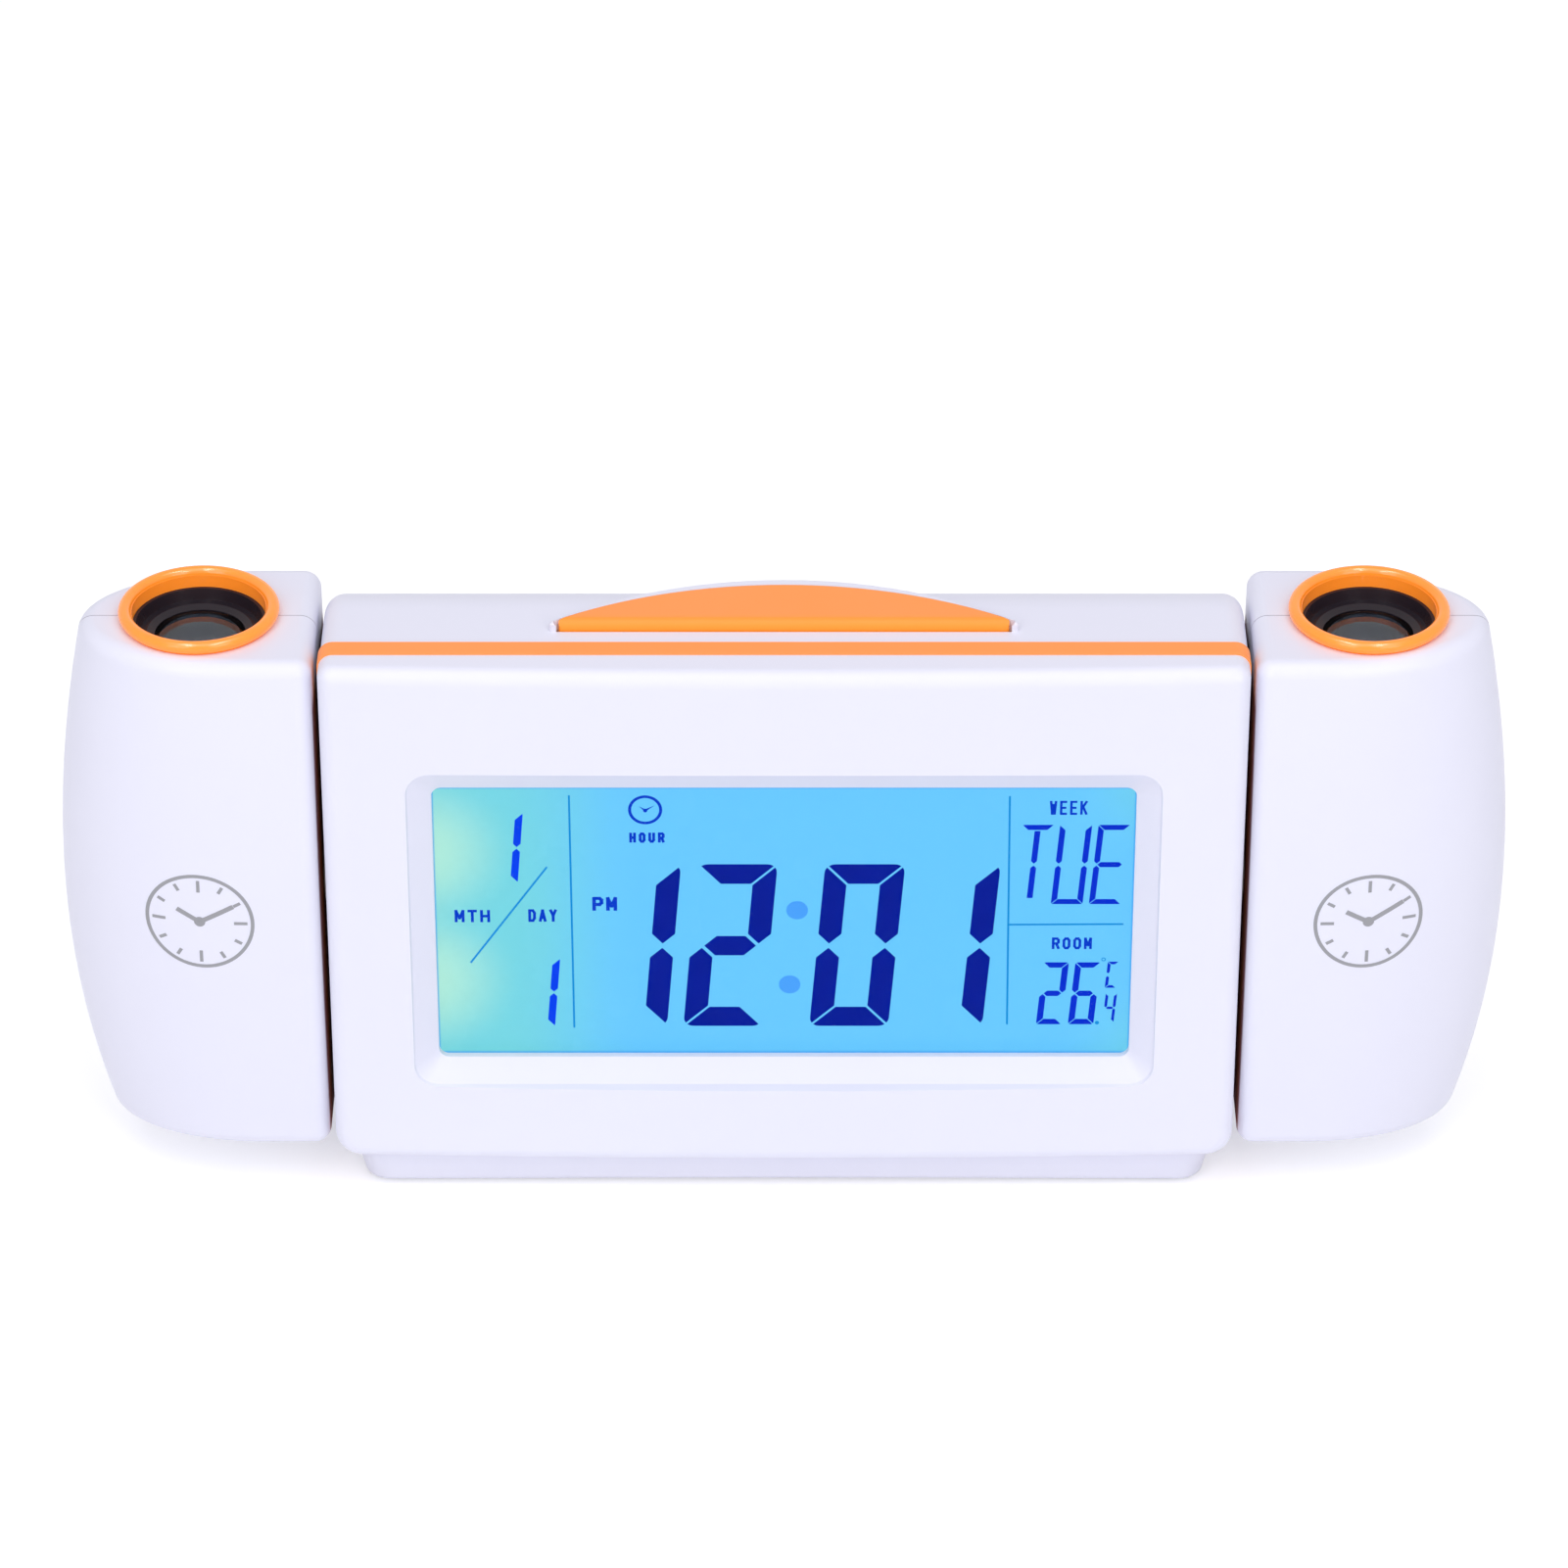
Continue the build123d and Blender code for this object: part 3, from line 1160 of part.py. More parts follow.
def pod_fittings():
    """What both shells of the right pod carry inside: the hub's socket, cradles and screw bosses."""
    socket_side = hub_flange_side + 2 * (flange_gap + rib_thickness)
    socket_depth = hub_flange + 2 * flange_gap
    with BuildPart() as fittings:
        with BuildSketch(facing_side(pod_inner_x + pod_wall / 2)):
            with Locations((0, swivel_z)):
                Rectangle(socket_side, socket_side)
        extrude(amount=pod_wall / 2 + socket_depth + rib_thickness)
        for z in cradle_heights:
            with BuildSketch(Plane.XY.offset(z)):
                with Locations((lens_x, 0)):
                    Rectangle(2 * tube_radius, 2 * pod_depth)
            extrude(amount=cradle_thickness)
        with BuildSketch(facing_front(0)):
            with Locations(*pod_screw_points):
                Circle(well_radius + boss_wall / 2)
        extrude(amount=pod_depth, both=True)
        add(pod_blank(pod_wall / 2), mode=Mode.INTERSECT)
        with BuildSketch(facing_side(pod_inner_x + pod_wall)):
            with Locations((0, swivel_z)):
                Rectangle(hub_flange_side + 2 * flange_gap, hub_flange_side + 2 * flange_gap)
        extrude(amount=socket_depth, mode=Mode.SUBTRACT)
        with BuildSketch(facing_side(pod_inner_x)):
            with Locations((0, swivel_z)):
                Circle(hub_bore)
        extrude(amount=2 * (pod_wall + socket_depth + rib_thickness), mode=Mode.SUBTRACT)
        with BuildSketch(Plane.XY.offset(cradle_heights[0])):
            with Locations((lens_x, 0)):
                Circle(tube_radius + flange_gap)
        extrude(amount=cradle_heights[1], mode=Mode.SUBTRACT)
    return fittings.part


def pod_case():
    """Both shells of the right pod together, before they are parted."""
    with BuildPart() as case:
        add(rounded_pod())
        add(pod_blank(pod_wall), mode=Mode.SUBTRACT)
        add(pod_fittings())
        with BuildSketch(facing_side(half_width)):
            with Locations((0, swivel_z)):
                Circle(hub_radius + hub_gap)
        extrude(amount=pod_gap + pod_wall, mode=Mode.SUBTRACT)
        with BuildSketch(Plane.XY.offset(ring_flange_top)):
            with Locations((lens_x, 0)):
                Circle(ring_bore + ring_sleeve + ring_hole_gap)
        extrude(amount=pod_top, mode=Mode.SUBTRACT)
    return case.part


def pod_half(case, front):
    """Front or rear shell of the right pod, parted on the plane of its swivel and optical axes."""
    with BuildPart() as half:
        add(case)
        if front:
            split(bisect_by=Plane.XZ.offset(joint_gap / 4), keep=Keep.TOP)
            with BuildSketch(facing_front(0)):
                with Locations(*pod_screw_points):
                    Circle(pilot_radius)
            extrude(amount=case_screw_length - pod_boss_seat + joint_gap, mode=Mode.SUBTRACT)
        else:
            split(bisect_by=Plane.XZ.offset(-joint_gap / 4), keep=Keep.BOTTOM)
            with BuildSketch(facing_front(pod_boss_seat)):
                with Locations(*pod_screw_points):
                    Circle(well_radius)
            extrude(amount=-2 * pod_depth, mode=Mode.SUBTRACT)
            with BuildSketch(facing_front(0)):
                with Locations(*pod_screw_points):
                    Circle(screw_radius + screw_clearance)
            extrude(amount=-2 * pod_depth, mode=Mode.SUBTRACT)
    return half.part


case_of_pod = pod_case()
pod_front = pod_half(case_of_pod, front=True)
pod_rear = pod_half(case_of_pod, front=False)
pod_screws = placed(
    case_screw,
    [Plane(origin=(x, pod_boss_seat, z), z_dir=(0, 1, 0)) for x, z in pod_screw_points],
)

# ================================================================ swivel of the right pod
with BuildPart() as swivel_hub:
    with BuildSketch(facing_side(hub_flange_x)):
        with Locations((0, swivel_z)):
            RectangleRounded(hub_flange_side, hub_flange_side, 1.0)
    extrude(amount=hub_flange)
    with BuildSketch(facing_side(hub_inner_x)):
        with Locations((0, swivel_z)):
            Circle(hub_radius)
    extrude(amount=hub_flange_x - hub_inner_x)
    with BuildSketch(facing_side(retainer_x - flange_gap / 2)):
        with Locations((0, swivel_z)):
            Circle(hub_radius)
            Circle(hub_radius - retainer_grip, mode=Mode.SUBTRACT)
    extrude(amount=retainer_thickness + flange_gap, mode=Mode.SUBTRACT)
    with BuildSketch(facing_side(hub_inner_x)):
        with Locations((0, swivel_z)):
            Circle(hub_bore)
    extrude(amount=hub_outer_x - hub_inner_x, mode=Mode.SUBTRACT)

with BuildPart() as friction_washers:
    for side in (-1, 1):
        with BuildSketch(facing_side(side * washer_x)):
            with Locations((0, swivel_z)):
                Circle(hub_boss_radius)
                Circle(hub_radius + 2 * hub_gap, mode=Mode.SUBTRACT)
        extrude(amount=side * washer_thickness)

with BuildPart() as swivel_clip:
    with BuildSketch(facing_side(retainer_x)):
        with Locations((0, swivel_z)):
            Circle(hub_boss_radius)
            Circle(hub_radius - retainer_grip + hub_gap, mode=Mode.SUBTRACT)
            Rectangle(
                2 * hub_boss_radius,
                2 * clip_mouth,
                align=(Align.MAX, Align.CENTER),
                mode=Mode.SUBTRACT,
            )
    extrude(amount=retainer_thickness)

# ================================================================ optics of the right pod
with BuildPart() as focus_ring:
    sleeve_outer = ring_bore + ring_sleeve
    bead_z = pod_top + bead_gap + bead_tube
    with BuildSketch(Plane(origin=(lens_x, 0, 0), x_dir=(1, 0, 0), z_dir=(0, -1, 0))):
        with Locations((bead_radius, bead_z)):
            Circle(bead_tube)
        with Locations((ring_bore, ring_bottom)):
            Rectangle(ring_sleeve, bead_z - ring_bottom, align=(Align.MIN, Align.MIN))
            Rectangle(ring_sleeve + ring_flange_reach, ring_flange, align=(Align.MIN, Align.MIN))
    revolve(axis=Axis((lens_x, 0, 0), (0, 0, 1)))

with BuildPart() as lens_barrel:
    mouth_z = barrel_top - barrel_mouth
    with BuildSketch(Plane(origin=(lens_x, 0, 0), x_dir=(1, 0, 0), z_dir=(0, -1, 0))):
        with BuildLine():
            Polyline(
                (barrel_radius, barrel_bottom),
                (barrel_radius, barrel_top),
                (barrel_radius - barrel_lip, barrel_top),
                (barrel_radius - 2 * barrel_lip, mouth_z),
                (barrel_radius - 2 * barrel_lip - barrel_ledge, mouth_z),
                (lens_radius + lens_gap, lens_seat + lens_edge + lens_gap),
                (lens_radius + lens_gap, lens_seat),
                (lens_aperture, lens_seat),
                (lens_aperture + 2 * barrel_lip, barrel_bottom),
                (barrel_radius, barrel_bottom),
            )
        make_face()
    revolve(axis=Axis((lens_x, 0, 0), (0, 0, 1)))


with BuildPart() as projector_lens:
    with BuildSketch(Plane(origin=(lens_x, 0, 0), x_dir=(1, 0, 0), z_dir=(0, -1, 0))):
        with Locations((0, lens_seat)):
            Rectangle(lens_radius, lens_curve, align=(Align.MIN, Align.MIN))
        with Locations((0, lens_seat + lens_edge + lens_crown - lens_curve)):
            Circle(lens_curve, mode=Mode.INTERSECT)
    revolve(axis=Axis((lens_x, 0, 0), (0, 0, 1)))

with BuildPart() as projector_tube:
    with BuildSketch(Plane(origin=(lens_x, 0, 0), x_dir=(1, 0, 0), z_dir=(0, -1, 0))):
        with BuildLine():
            Polyline(
                (tube_radius, tube_bottom),
                (tube_radius, collar_z),
                (tube_radius + tube_collar, collar_z),
                (tube_radius + tube_collar, collar_z + tube_wall),
                (tube_radius, collar_z + tube_wall),
                (tube_radius, tube_top),
                (ring_bore, tube_top),
                (ring_bore, tube_step),
                (tube_lower_bore, tube_step),
                (tube_lower_bore, tube_bottom),
                (tube_radius, tube_bottom),
            )
        make_face()
    revolve(axis=Axis((lens_x, 0, 0), (0, 0, 1)))

with BuildPart() as display_slide:
    with BuildSketch(Plane.XY.offset(tube_step)):
        with Locations((lens_x, 0)):
            Rectangle(slide_side, slide_side)
    extrude(amount=slide_thickness)

with BuildPart() as lamp_board:
    with BuildSketch(Plane.XY.offset(tube_bottom)):
        with Locations((lens_x, 0)):
            Circle(lamp_radius)
    extrude(amount=lamp_height)
    fillet(lamp_board.edges().group_by(Axis.Z)[-1], lamp_height * 0.8)
    with BuildSketch(Plane.XY.offset(tube_bottom - board_thickness)):
        with Locations((lens_x, 0)):
            RectangleRounded(lamp_board_side, lamp_board_side, 1.0)
    extrude(amount=board_thickness)

# ================================================================ wiring
with BuildPart() as pod_lead:
    lead_top = tube_bottom - board_thickness
    with BuildLine(Plane.XZ):
        FilletPolyline((hub_inner_x, swivel_z), (lens_x, swivel_z), (lens_x, lead_top), radius=bundle_bend)
    with BuildSketch(facing_side(hub_inner_x)):
        with Locations((0, swivel_z)):
            Circle(bundle_radius)
    sweep()

with BuildPart() as body_leads:
    for side in (-1, 1):
        # to a pod, along the swivel axis and down into its socket on the main board
        with BuildLine(Plane.XZ):
            FilletPolyline(
                (side * hub_inner_x, swivel_z),
                (side * socket_x, swivel_z),
                (side * socket_x, socket_z),
                radius=bundle_bend,
            )
        with BuildSketch(facing_side(side * hub_inner_x)):
            with Locations((0, swivel_z)):
                Circle(bundle_radius)
        sweep()
    # straight runs from the main board to the battery tabs, the jack, the selector and the buzzer
    for x, z, end_y in lead_runs:
        with BuildSketch(facing_front(main_board_rear_y)):
            with Locations((x, z)):
                Circle(lead_radius)
        extrude(amount=main_board_rear_y - end_y)

with BuildPart() as ribbon_cable:
    with BuildSketch(facing_side(-ribbon_width / 2)):
        with BuildLine():
            FilletPolyline(
                (main_board_rear_y, ribbon_top_z),
                (ribbon_middle_y, ribbon_top_z),
                (ribbon_middle_y, ribbon_top_z - ribbon_drop),
                (key_board_y, ribbon_top_z - ribbon_drop),
                radius=ribbon_bend,
            )
        trace(line_width=ribbon_thickness)
    extrude(amount=ribbon_width)

# ================================================================ labels and files
central_pieces = {
    "front_bezel": front_bezel.part,
    "trim_band": trim_band.part,
    "rear_shell": rear_shell.part,
    "base_foot": base_foot.part,
    "rubber_feet": rubber_feet.part,
    "display_window": display_window.part,
    "display_glass": display_glass.part,
    "light_guide": light_guide.part,
    "backlight_lamps": backlight_lamps.part,
    "contact_strip": contact_strip.part,
    "display_frame": display_frame.part,
    "main_board": main_board.part,
    "board_components": board_components.part,
    "key_board": key_board.part,
    "key_switches": key_switches.part,
    "snooze_board": snooze_board.part,
    "snooze_switch": snooze_switch.part,
    "snooze_bar": snooze_bar.part,
    "snooze_springs": snooze_springs,
    "selector_switch": selector_switch.part,
    "selector_knob": selector_knob_piece.part,
    "power_jack": power_jack.part,
    "buzzer_disc": buzzer.part,
    "battery_cells": battery_cells.part,
    "battery_contacts": battery_contacts.part,
    "battery_springs": battery_springs,
    "battery_door": battery_door.part,
    "case_screws": case_screws,
    "board_screws": board_screws,
    "friction_washers": friction_washers.part,
    "body_leads": body_leads.part,
    "ribbon_cable": ribbon_cable.part,
}
key_pieces = {f"{name}_key": cap for name, cap in keys.items()}
pod_pieces = {
    "pod_front_shell": pod_front,
    "pod_rear_shell": pod_rear,
    "pod_screws": pod_screws,
    "swivel_hub": swivel_hub.part,
    "swivel_clip": swivel_clip.part,
    "focus_ring": focus_ring.part,
    "lens_barrel": lens_barrel.part,
    "projector_lens": projector_lens.part,
    "projector_tube": projector_tube.part,
    "display_slide": display_slide.part,
    "lamp_board": lamp_board.part,
    "pod_lead": pod_lead.part,
}
right_pieces = {f"right_{name}": piece for name, piece in pod_pieces.items()}
left_pieces = {f"left_{name}": mirrored(piece) for name, piece in pod_pieces.items()}

os.makedirs("parts", exist_ok=True)
for name, piece in {**central_pieces, **key_pieces, **right_pieces, **left_pieces}.items():
    piece.label = name
    export_step(piece, f"parts/{name}.step")
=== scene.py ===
import json
import math

import bpy
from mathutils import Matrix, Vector


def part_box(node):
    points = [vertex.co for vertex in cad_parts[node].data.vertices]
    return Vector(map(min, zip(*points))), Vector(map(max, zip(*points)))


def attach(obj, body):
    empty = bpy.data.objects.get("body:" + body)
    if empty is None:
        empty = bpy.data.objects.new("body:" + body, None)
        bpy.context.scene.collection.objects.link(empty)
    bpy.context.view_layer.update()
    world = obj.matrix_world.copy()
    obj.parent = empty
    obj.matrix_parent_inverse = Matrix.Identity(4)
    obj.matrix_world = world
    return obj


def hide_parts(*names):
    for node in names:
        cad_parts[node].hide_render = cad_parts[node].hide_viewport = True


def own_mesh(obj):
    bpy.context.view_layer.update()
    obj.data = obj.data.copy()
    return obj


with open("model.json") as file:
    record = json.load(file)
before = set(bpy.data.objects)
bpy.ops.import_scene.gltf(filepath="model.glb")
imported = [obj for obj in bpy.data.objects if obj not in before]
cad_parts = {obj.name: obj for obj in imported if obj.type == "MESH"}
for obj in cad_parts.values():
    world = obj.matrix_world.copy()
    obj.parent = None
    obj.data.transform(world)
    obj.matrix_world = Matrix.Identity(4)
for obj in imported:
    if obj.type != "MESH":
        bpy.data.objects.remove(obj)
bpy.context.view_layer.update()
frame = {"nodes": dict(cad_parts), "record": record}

nodes = frame["nodes"]
mm = 0.001  # in metres
print("clock loaded:", len(nodes), "nodes")


# small helpers for modelling

def dropSelection():
    if bpy.context.mode != "OBJECT":
        bpy.ops.object.mode_set(mode="OBJECT")
    bpy.ops.object.select_all(action="DESELECT")


def pickOnly(piece):
    dropSelection()
    piece.select_set(True)
    bpy.context.view_layer.objects.active = piece


def editAll():
    # opens the piece in hand for editing, all of it selected
    bpy.ops.object.mode_set(mode="EDIT")
    bpy.ops.mesh.select_all(action="SELECT")


def endEdit():
    bpy.ops.object.mode_set(mode="OBJECT")


def settle(piece):
    # place, turn and scale go into the mesh, and the object stays at the origin
    pickOnly(piece)
    bpy.ops.object.transform_apply(location=True, rotation=True, scale=True)


def applyModifiers(piece):
    pickOnly(piece)
    for modifier in list(piece.modifiers):
        bpy.ops.object.modifier_apply(modifier=modifier.name)


def joinPieces(pieces, name):
    dropSelection()
    for piece in pieces:
        piece.select_set(True)
    bpy.context.view_layer.objects.active = pieces[0]
    if len(pieces) > 1:
        bpy.ops.object.join()
    pieces[0].name = name
    pieces[0].data.name = name
    return pieces[0]


def dress(piece, material, body):
    piece.data.materials.clear()
    piece.data.materials.append(material)
    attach(piece, body)


# small helpers for materials

def rgb(red, green, blue):
    return (red, green, blue, 1.0)


def addNode(tree, kind, place=(0, 0), **settings):
    node = tree.nodes.new(kind)
    node.location = place
    for key, value in settings.items():
        setattr(node, key, value)
    return node


def feed(tree, socket, value):
    # links an output to a socket, or sets a plain value on it
    if isinstance(value, bpy.types.NodeSocket):
        tree.links.new(value, socket)
    else:
        socket.default_value = value


def mathNode(tree, operation, first, second=None, place=(0, 0), clamp=False):
    node = addNode(tree, "ShaderNodeMath", place, operation=operation, use_clamp=clamp)
    feed(tree, node.inputs[0], first)
    if second is not None:
        feed(tree, node.inputs[1], second)
    return node.outputs[0]


def mixColor(tree, amount, first, second, place=(0, 0)):
    node = addNode(tree, "ShaderNodeMix", place, data_type="RGBA")
    # the factor and the two colours, among the sockets of the node's other kinds
    for index, value in ((0, amount), (6, first), (7, second)):
        feed(tree, node.inputs[index], value)
    return node.outputs[2]


def noiseNode(tree, vector, scale, detail=2.0, rough=0.5, place=(0, 0)):
    node = addNode(tree, "ShaderNodeTexNoise", place)
    for key, value in (("Vector", vector), ("Scale", scale), ("Detail", detail), ("Roughness", rough)):
        feed(tree, node.inputs[key], value)
    return node.outputs["Fac"]


def smoothStep(tree, value, start, end, place):
    # 0 at start, 1 at end, smooth between
    node = addNode(tree, "ShaderNodeMapRange", place, interpolation_type="SMOOTHSTEP")
    tree.links.new(value, node.inputs["Value"])
    node.inputs["From Min"].default_value = start
    node.inputs["From Max"].default_value = end
    return node.outputs["Result"]


def addBump(tree, shader, height, strength, depth, place):
    bump = addNode(tree, "ShaderNodeBump", place)
    bump.inputs["Strength"].default_value = strength
    bump.inputs["Distance"].default_value = depth
    tree.links.new(height, bump.inputs["Height"])
    tree.links.new(bump.outputs["Normal"], shader.inputs["Normal"])


def startMaterial(name):
    material = bpy.data.materials.new(name)
    material.use_nodes = True
    tree = material.node_tree
    shader = tree.nodes["Principled BSDF"]
    coordinates = addNode(tree, "ShaderNodeTexCoord", (-1200, 0))
    return material, tree, shader, coordinates.outputs["Object"]


# shader groups

def newGroup(name, inputs, outputs):
    group = bpy.data.node_groups.new(name, "ShaderNodeTree")
    for socketName, kind, value in inputs:
        socket = group.interface.new_socket(name=socketName, in_out="INPUT", socket_type=kind)
        if value is not None:
            socket.default_value = value
    for socketName, kind in outputs:
        group.interface.new_socket(name=socketName, in_out="OUTPUT", socket_type=kind)
    entry = addNode(group, "NodeGroupInput", (-900, 0))
    leave = addNode(group, "NodeGroupOutput", (700, 0))
    return group, entry.outputs, leave.inputs


def placeGroup(tree, group, place, values):
    node = addNode(tree, "ShaderNodeGroup", place, node_tree=group)
    for key, value in values.items():
        feed(tree, node.inputs[key], value)
    return node


def makeMouldedGroup():
    # colour that drifts slowly, fine grain, and a sheen that is never quite even; a noise is given by its
    # detail and roughness, after its scale where that is fixed
    skin = dict(drift=(3.0, 0.55), smear=(90.0, 4.0, 0.6), grain=(2.0, 0.6), waves=(120.0, 1.0, 0.4),
                waveShare=0.5)
    group, given, result = newGroup(
        "mouldedSurface",
        [
            ("Vector", "NodeSocketVector", None),
            ("Color", "NodeSocketColor", rgb(0.8, 0.8, 0.8)),
            ("Second Color", "NodeSocketColor", rgb(0.7, 0.7, 0.7)),
            ("Drift Scale", "NodeSocketFloat", 25.0),
            ("Drift", "NodeSocketFloat", 0.3),
            ("Grain Scale", "NodeSocketFloat", 3000.0),
            ("Roughness", "NodeSocketFloat", 0.3),
            ("Roughness Spread", "NodeSocketFloat", 0.1),
        ],
        [("Color", "NodeSocketColor"), ("Roughness", "NodeSocketFloat"), ("Height", "NodeSocketFloat")],
    )
    vector = given["Vector"]
    drift = noiseNode(group, vector, given["Drift Scale"], *skin["drift"], (-600, 200))
    amount = mathNode(group, "MULTIPLY", drift, given["Drift"], (-400, 200))
    color = mixColor(group, amount, given["Color"], given["Second Color"], (-200, 200))
    smear = noiseNode(group, vector, *skin["smear"], (-600, -300))
    centred = mathNode(group, "SUBTRACT", smear, 0.5, (-400, -300))
    spread = mathNode(group, "MULTIPLY", centred, given["Roughness Spread"], (-200, -300))
    rough = mathNode(group, "ADD", given["Roughness"], spread, (0, -300), clamp=True)
    grain = noiseNode(group, vector, given["Grain Scale"], *skin["grain"], (-600, -100))
    waves = noiseNode(group, vector, *skin["waves"], (-600, -500))
    slow = mathNode(group, "MULTIPLY", waves, skin["waveShare"], (-400, -500))
    height = mathNode(group, "ADD", grain, slow, (0, -100))
    for key, value in (("Color", color), ("Roughness", rough), ("Height", height)):
        group.links.new(value, result[key])
    return group


def makeEdgeGroup():
    # corners that have been handled: a worn tone where the surface turns sharply
    corner = dict(samples=4, sharpness=6.0, patches=(260.0, 4.0, 0.65))
    group, given, result = newGroup(
        "edgeWear",
        [
            ("Vector", "NodeSocketVector", None),
            ("Color", "NodeSocketColor", rgb(0.8, 0.8, 0.8)),
            ("Edge Color", "NodeSocketColor", rgb(1, 1, 1)),
            ("Reach", "NodeSocketFloat", 0.0004),
            ("Amount", "NodeSocketFloat", 0.5),
        ],
        [("Color", "NodeSocketColor"), ("Mask", "NodeSocketFloat")],
    )
    bevel = addNode(group, "ShaderNodeBevel", (-700, 0), samples=corner["samples"])
    group.links.new(given["Reach"], bevel.inputs["Radius"])
    geometry = addNode(group, "ShaderNodeNewGeometry", (-700, -200))
    dot = addNode(group, "ShaderNodeVectorMath", (-500, 0), operation="DOT_PRODUCT")
    group.links.new(bevel.outputs["Normal"], dot.inputs[0])
    group.links.new(geometry.outputs["Normal"], dot.inputs[1])
    turned = mathNode(group, "SUBTRACT", 1.0, dot.outputs["Value"], (-300, 0))
    sharp = mathNode(group, "MULTIPLY", turned, corner["sharpness"], (-100, 0), clamp=True)
    patches = noiseNode(group, given["Vector"], *corner["patches"], (-500, -400))
    worn = mathNode(group, "MULTIPLY", sharp, patches, (100, -100))
    mask = mathNode(group, "MULTIPLY", worn, given["Amount"], (300, -100), clamp=True)
    color = mixColor(group, mask, given["Color"], given["Edge Color"], (450, 100))
    group.links.new(color, result["Color"])
    group.links.new(mask, result["Mask"])
    return group


mouldedGroup = makeMouldedGroup()
edgeGroup = makeEdgeGroup()

# what a finish has where it says nothing else
usualFinish = dict(
    drift=0.5, driftScale=25.0, grainScale=3000.0, grainDepth=0.00003, spread=0.12, reach=0.0004, wear=0.4,
    bump=0.15, metallic=0.0, ior=1.48, coat=0.0, coatRoughness=0.1,
)


def moulded(name, ownFinish):
    # one material for a moulded, cast or coated surface
    finish = {**usualFinish, **ownFinish}
    material, tree, shader, vector = startMaterial(name)
    surface = placeGroup(tree, mouldedGroup, (-900, 100), {
        "Vector": vector,
        "Color": rgb(*finish["color"]),
        "Second Color": rgb(*finish["second"]),
        "Drift Scale": finish["driftScale"],
        "Drift": finish["drift"],
        "Grain Scale": finish["grainScale"],
        "Roughness": finish["roughness"],
        "Roughness Spread": finish["spread"],
    })
    edges = placeGroup(tree, edgeGroup, (-600, 100), {
        "Vector": vector,
        "Color": surface.outputs["Color"],
        "Edge Color": rgb(*finish["edge"]),
        "Reach": finish["reach"],
        "Amount": finish["wear"],
    })
    tree.links.new(edges.outputs["Color"], shader.inputs["Base Color"])
    tree.links.new(surface.outputs["Roughness"], shader.inputs["Roughness"])
    addBump(tree, shader, surface.outputs["Height"], finish["bump"], finish["grainDepth"], (-300, -200))
    shader.inputs["Metallic"].default_value = finish["metallic"]
    shader.inputs["IOR"].default_value = finish["ior"]
    shader.inputs["Coat Weight"].default_value = finish["coat"]
    shader.inputs["Coat Roughness"].default_value = finish["coatRoughness"]
    if "glow" in finish:
        # painted glow: emission that stands in for light on the part, which is no lamp
        shader.inputs["Emission Color"].default_value = rgb(*finish["glow"])
        shader.inputs["Emission Strength"].default_value = finish["glowStrength"]
    return material


finishes = {
    "white_plastic": dict(
        color=(0.83, 0.83, 0.93), second=(0.80, 0.79, 0.92), edge=(0.9, 0.9, 0.96), roughness=0.36,
        wear=0.35, bump=0.06,
    ),
    # the orange parts carry a faint painted glow
    "orange_plastic": dict(
        color=(1.0, 0.292, 0.068), second=(0.98, 0.265, 0.052), edge=(1.0, 0.42, 0.16), roughness=0.42,
        spread=0.14, wear=0.45, bump=0.22, grainScale=2600.0, glow=(1.0, 0.44, 0.02), glowStrength=0.1,
    ),
    "black_plastic": dict(
        color=(0.012, 0.012, 0.014), second=(0.022, 0.022, 0.026), edge=(0.09, 0.09, 0.1), roughness=0.28,
        spread=0.2, wear=0.5, bump=0.2,
    ),
    "acetal": dict(
        color=(0.72, 0.72, 0.68), second=(0.66, 0.66, 0.61), edge=(0.82, 0.82, 0.8), roughness=0.38, wear=0.3,
    ),
    "grey_plastic": dict(
        color=(0.17, 0.175, 0.20), second=(0.14, 0.145, 0.17), edge=(0.32, 0.33, 0.36), roughness=0.45,
        wear=0.5, bump=0.25,
    ),
    "lamp_resin": dict(
        color=(0.85, 0.86, 0.62), second=(0.78, 0.8, 0.5), edge=(0.95, 0.95, 0.85), roughness=0.2,
        wear=0.2, bump=0.05,
    ),
    "steel": dict(
        color=(0.56, 0.57, 0.58), second=(0.44, 0.45, 0.47), edge=(0.8, 0.8, 0.8), roughness=0.33,
        spread=0.25, metallic=1.0, wear=0.6, bump=0.2, grainScale=1800.0,
    ),
    "brass": dict(
        color=(0.72, 0.50, 0.20), second=(0.6, 0.38, 0.14), edge=(0.9, 0.72, 0.4), roughness=0.3,
        spread=0.25, metallic=1.0, wear=0.5, bump=0.2,
    ),
    "rubber": dict(
        color=(0.018, 0.018, 0.018), second=(0.035, 0.034, 0.033), edge=(0.07, 0.07, 0.07), roughness=0.82,
        spread=0.2, wear=0.5, bump=0.6, grainScale=1500.0,
    ),
    "cable": dict(
        color=(0.022, 0.022, 0.026), second=(0.04, 0.04, 0.045), edge=(0.09, 0.09, 0.1), roughness=0.55,
        wear=0.3, bump=0.3,
    ),
}
# the focus rings are glossier and deeper in colour than the bar and the trim, with a stronger painted glow
ringFinish = dict(
    color=(1.0, 0.288, 0.024), second=(0.98, 0.26, 0.018), edge=(1.0, 0.42, 0.12), roughness=0.2, spread=0.1,
    bump=0.05, coat=0.25, coatRoughness=0.05, glow=(1.0, 0.27, 0.02), glowStrength=0.25,
)
barrelFinish = dict(
    color=(0.016, 0.012, 0.018), second=(0.022, 0.017, 0.025), edge=(0.05, 0.045, 0.055), roughness=0.24,
    spread=0.1, wear=0.2, bump=0.03, ior=1.3,
)


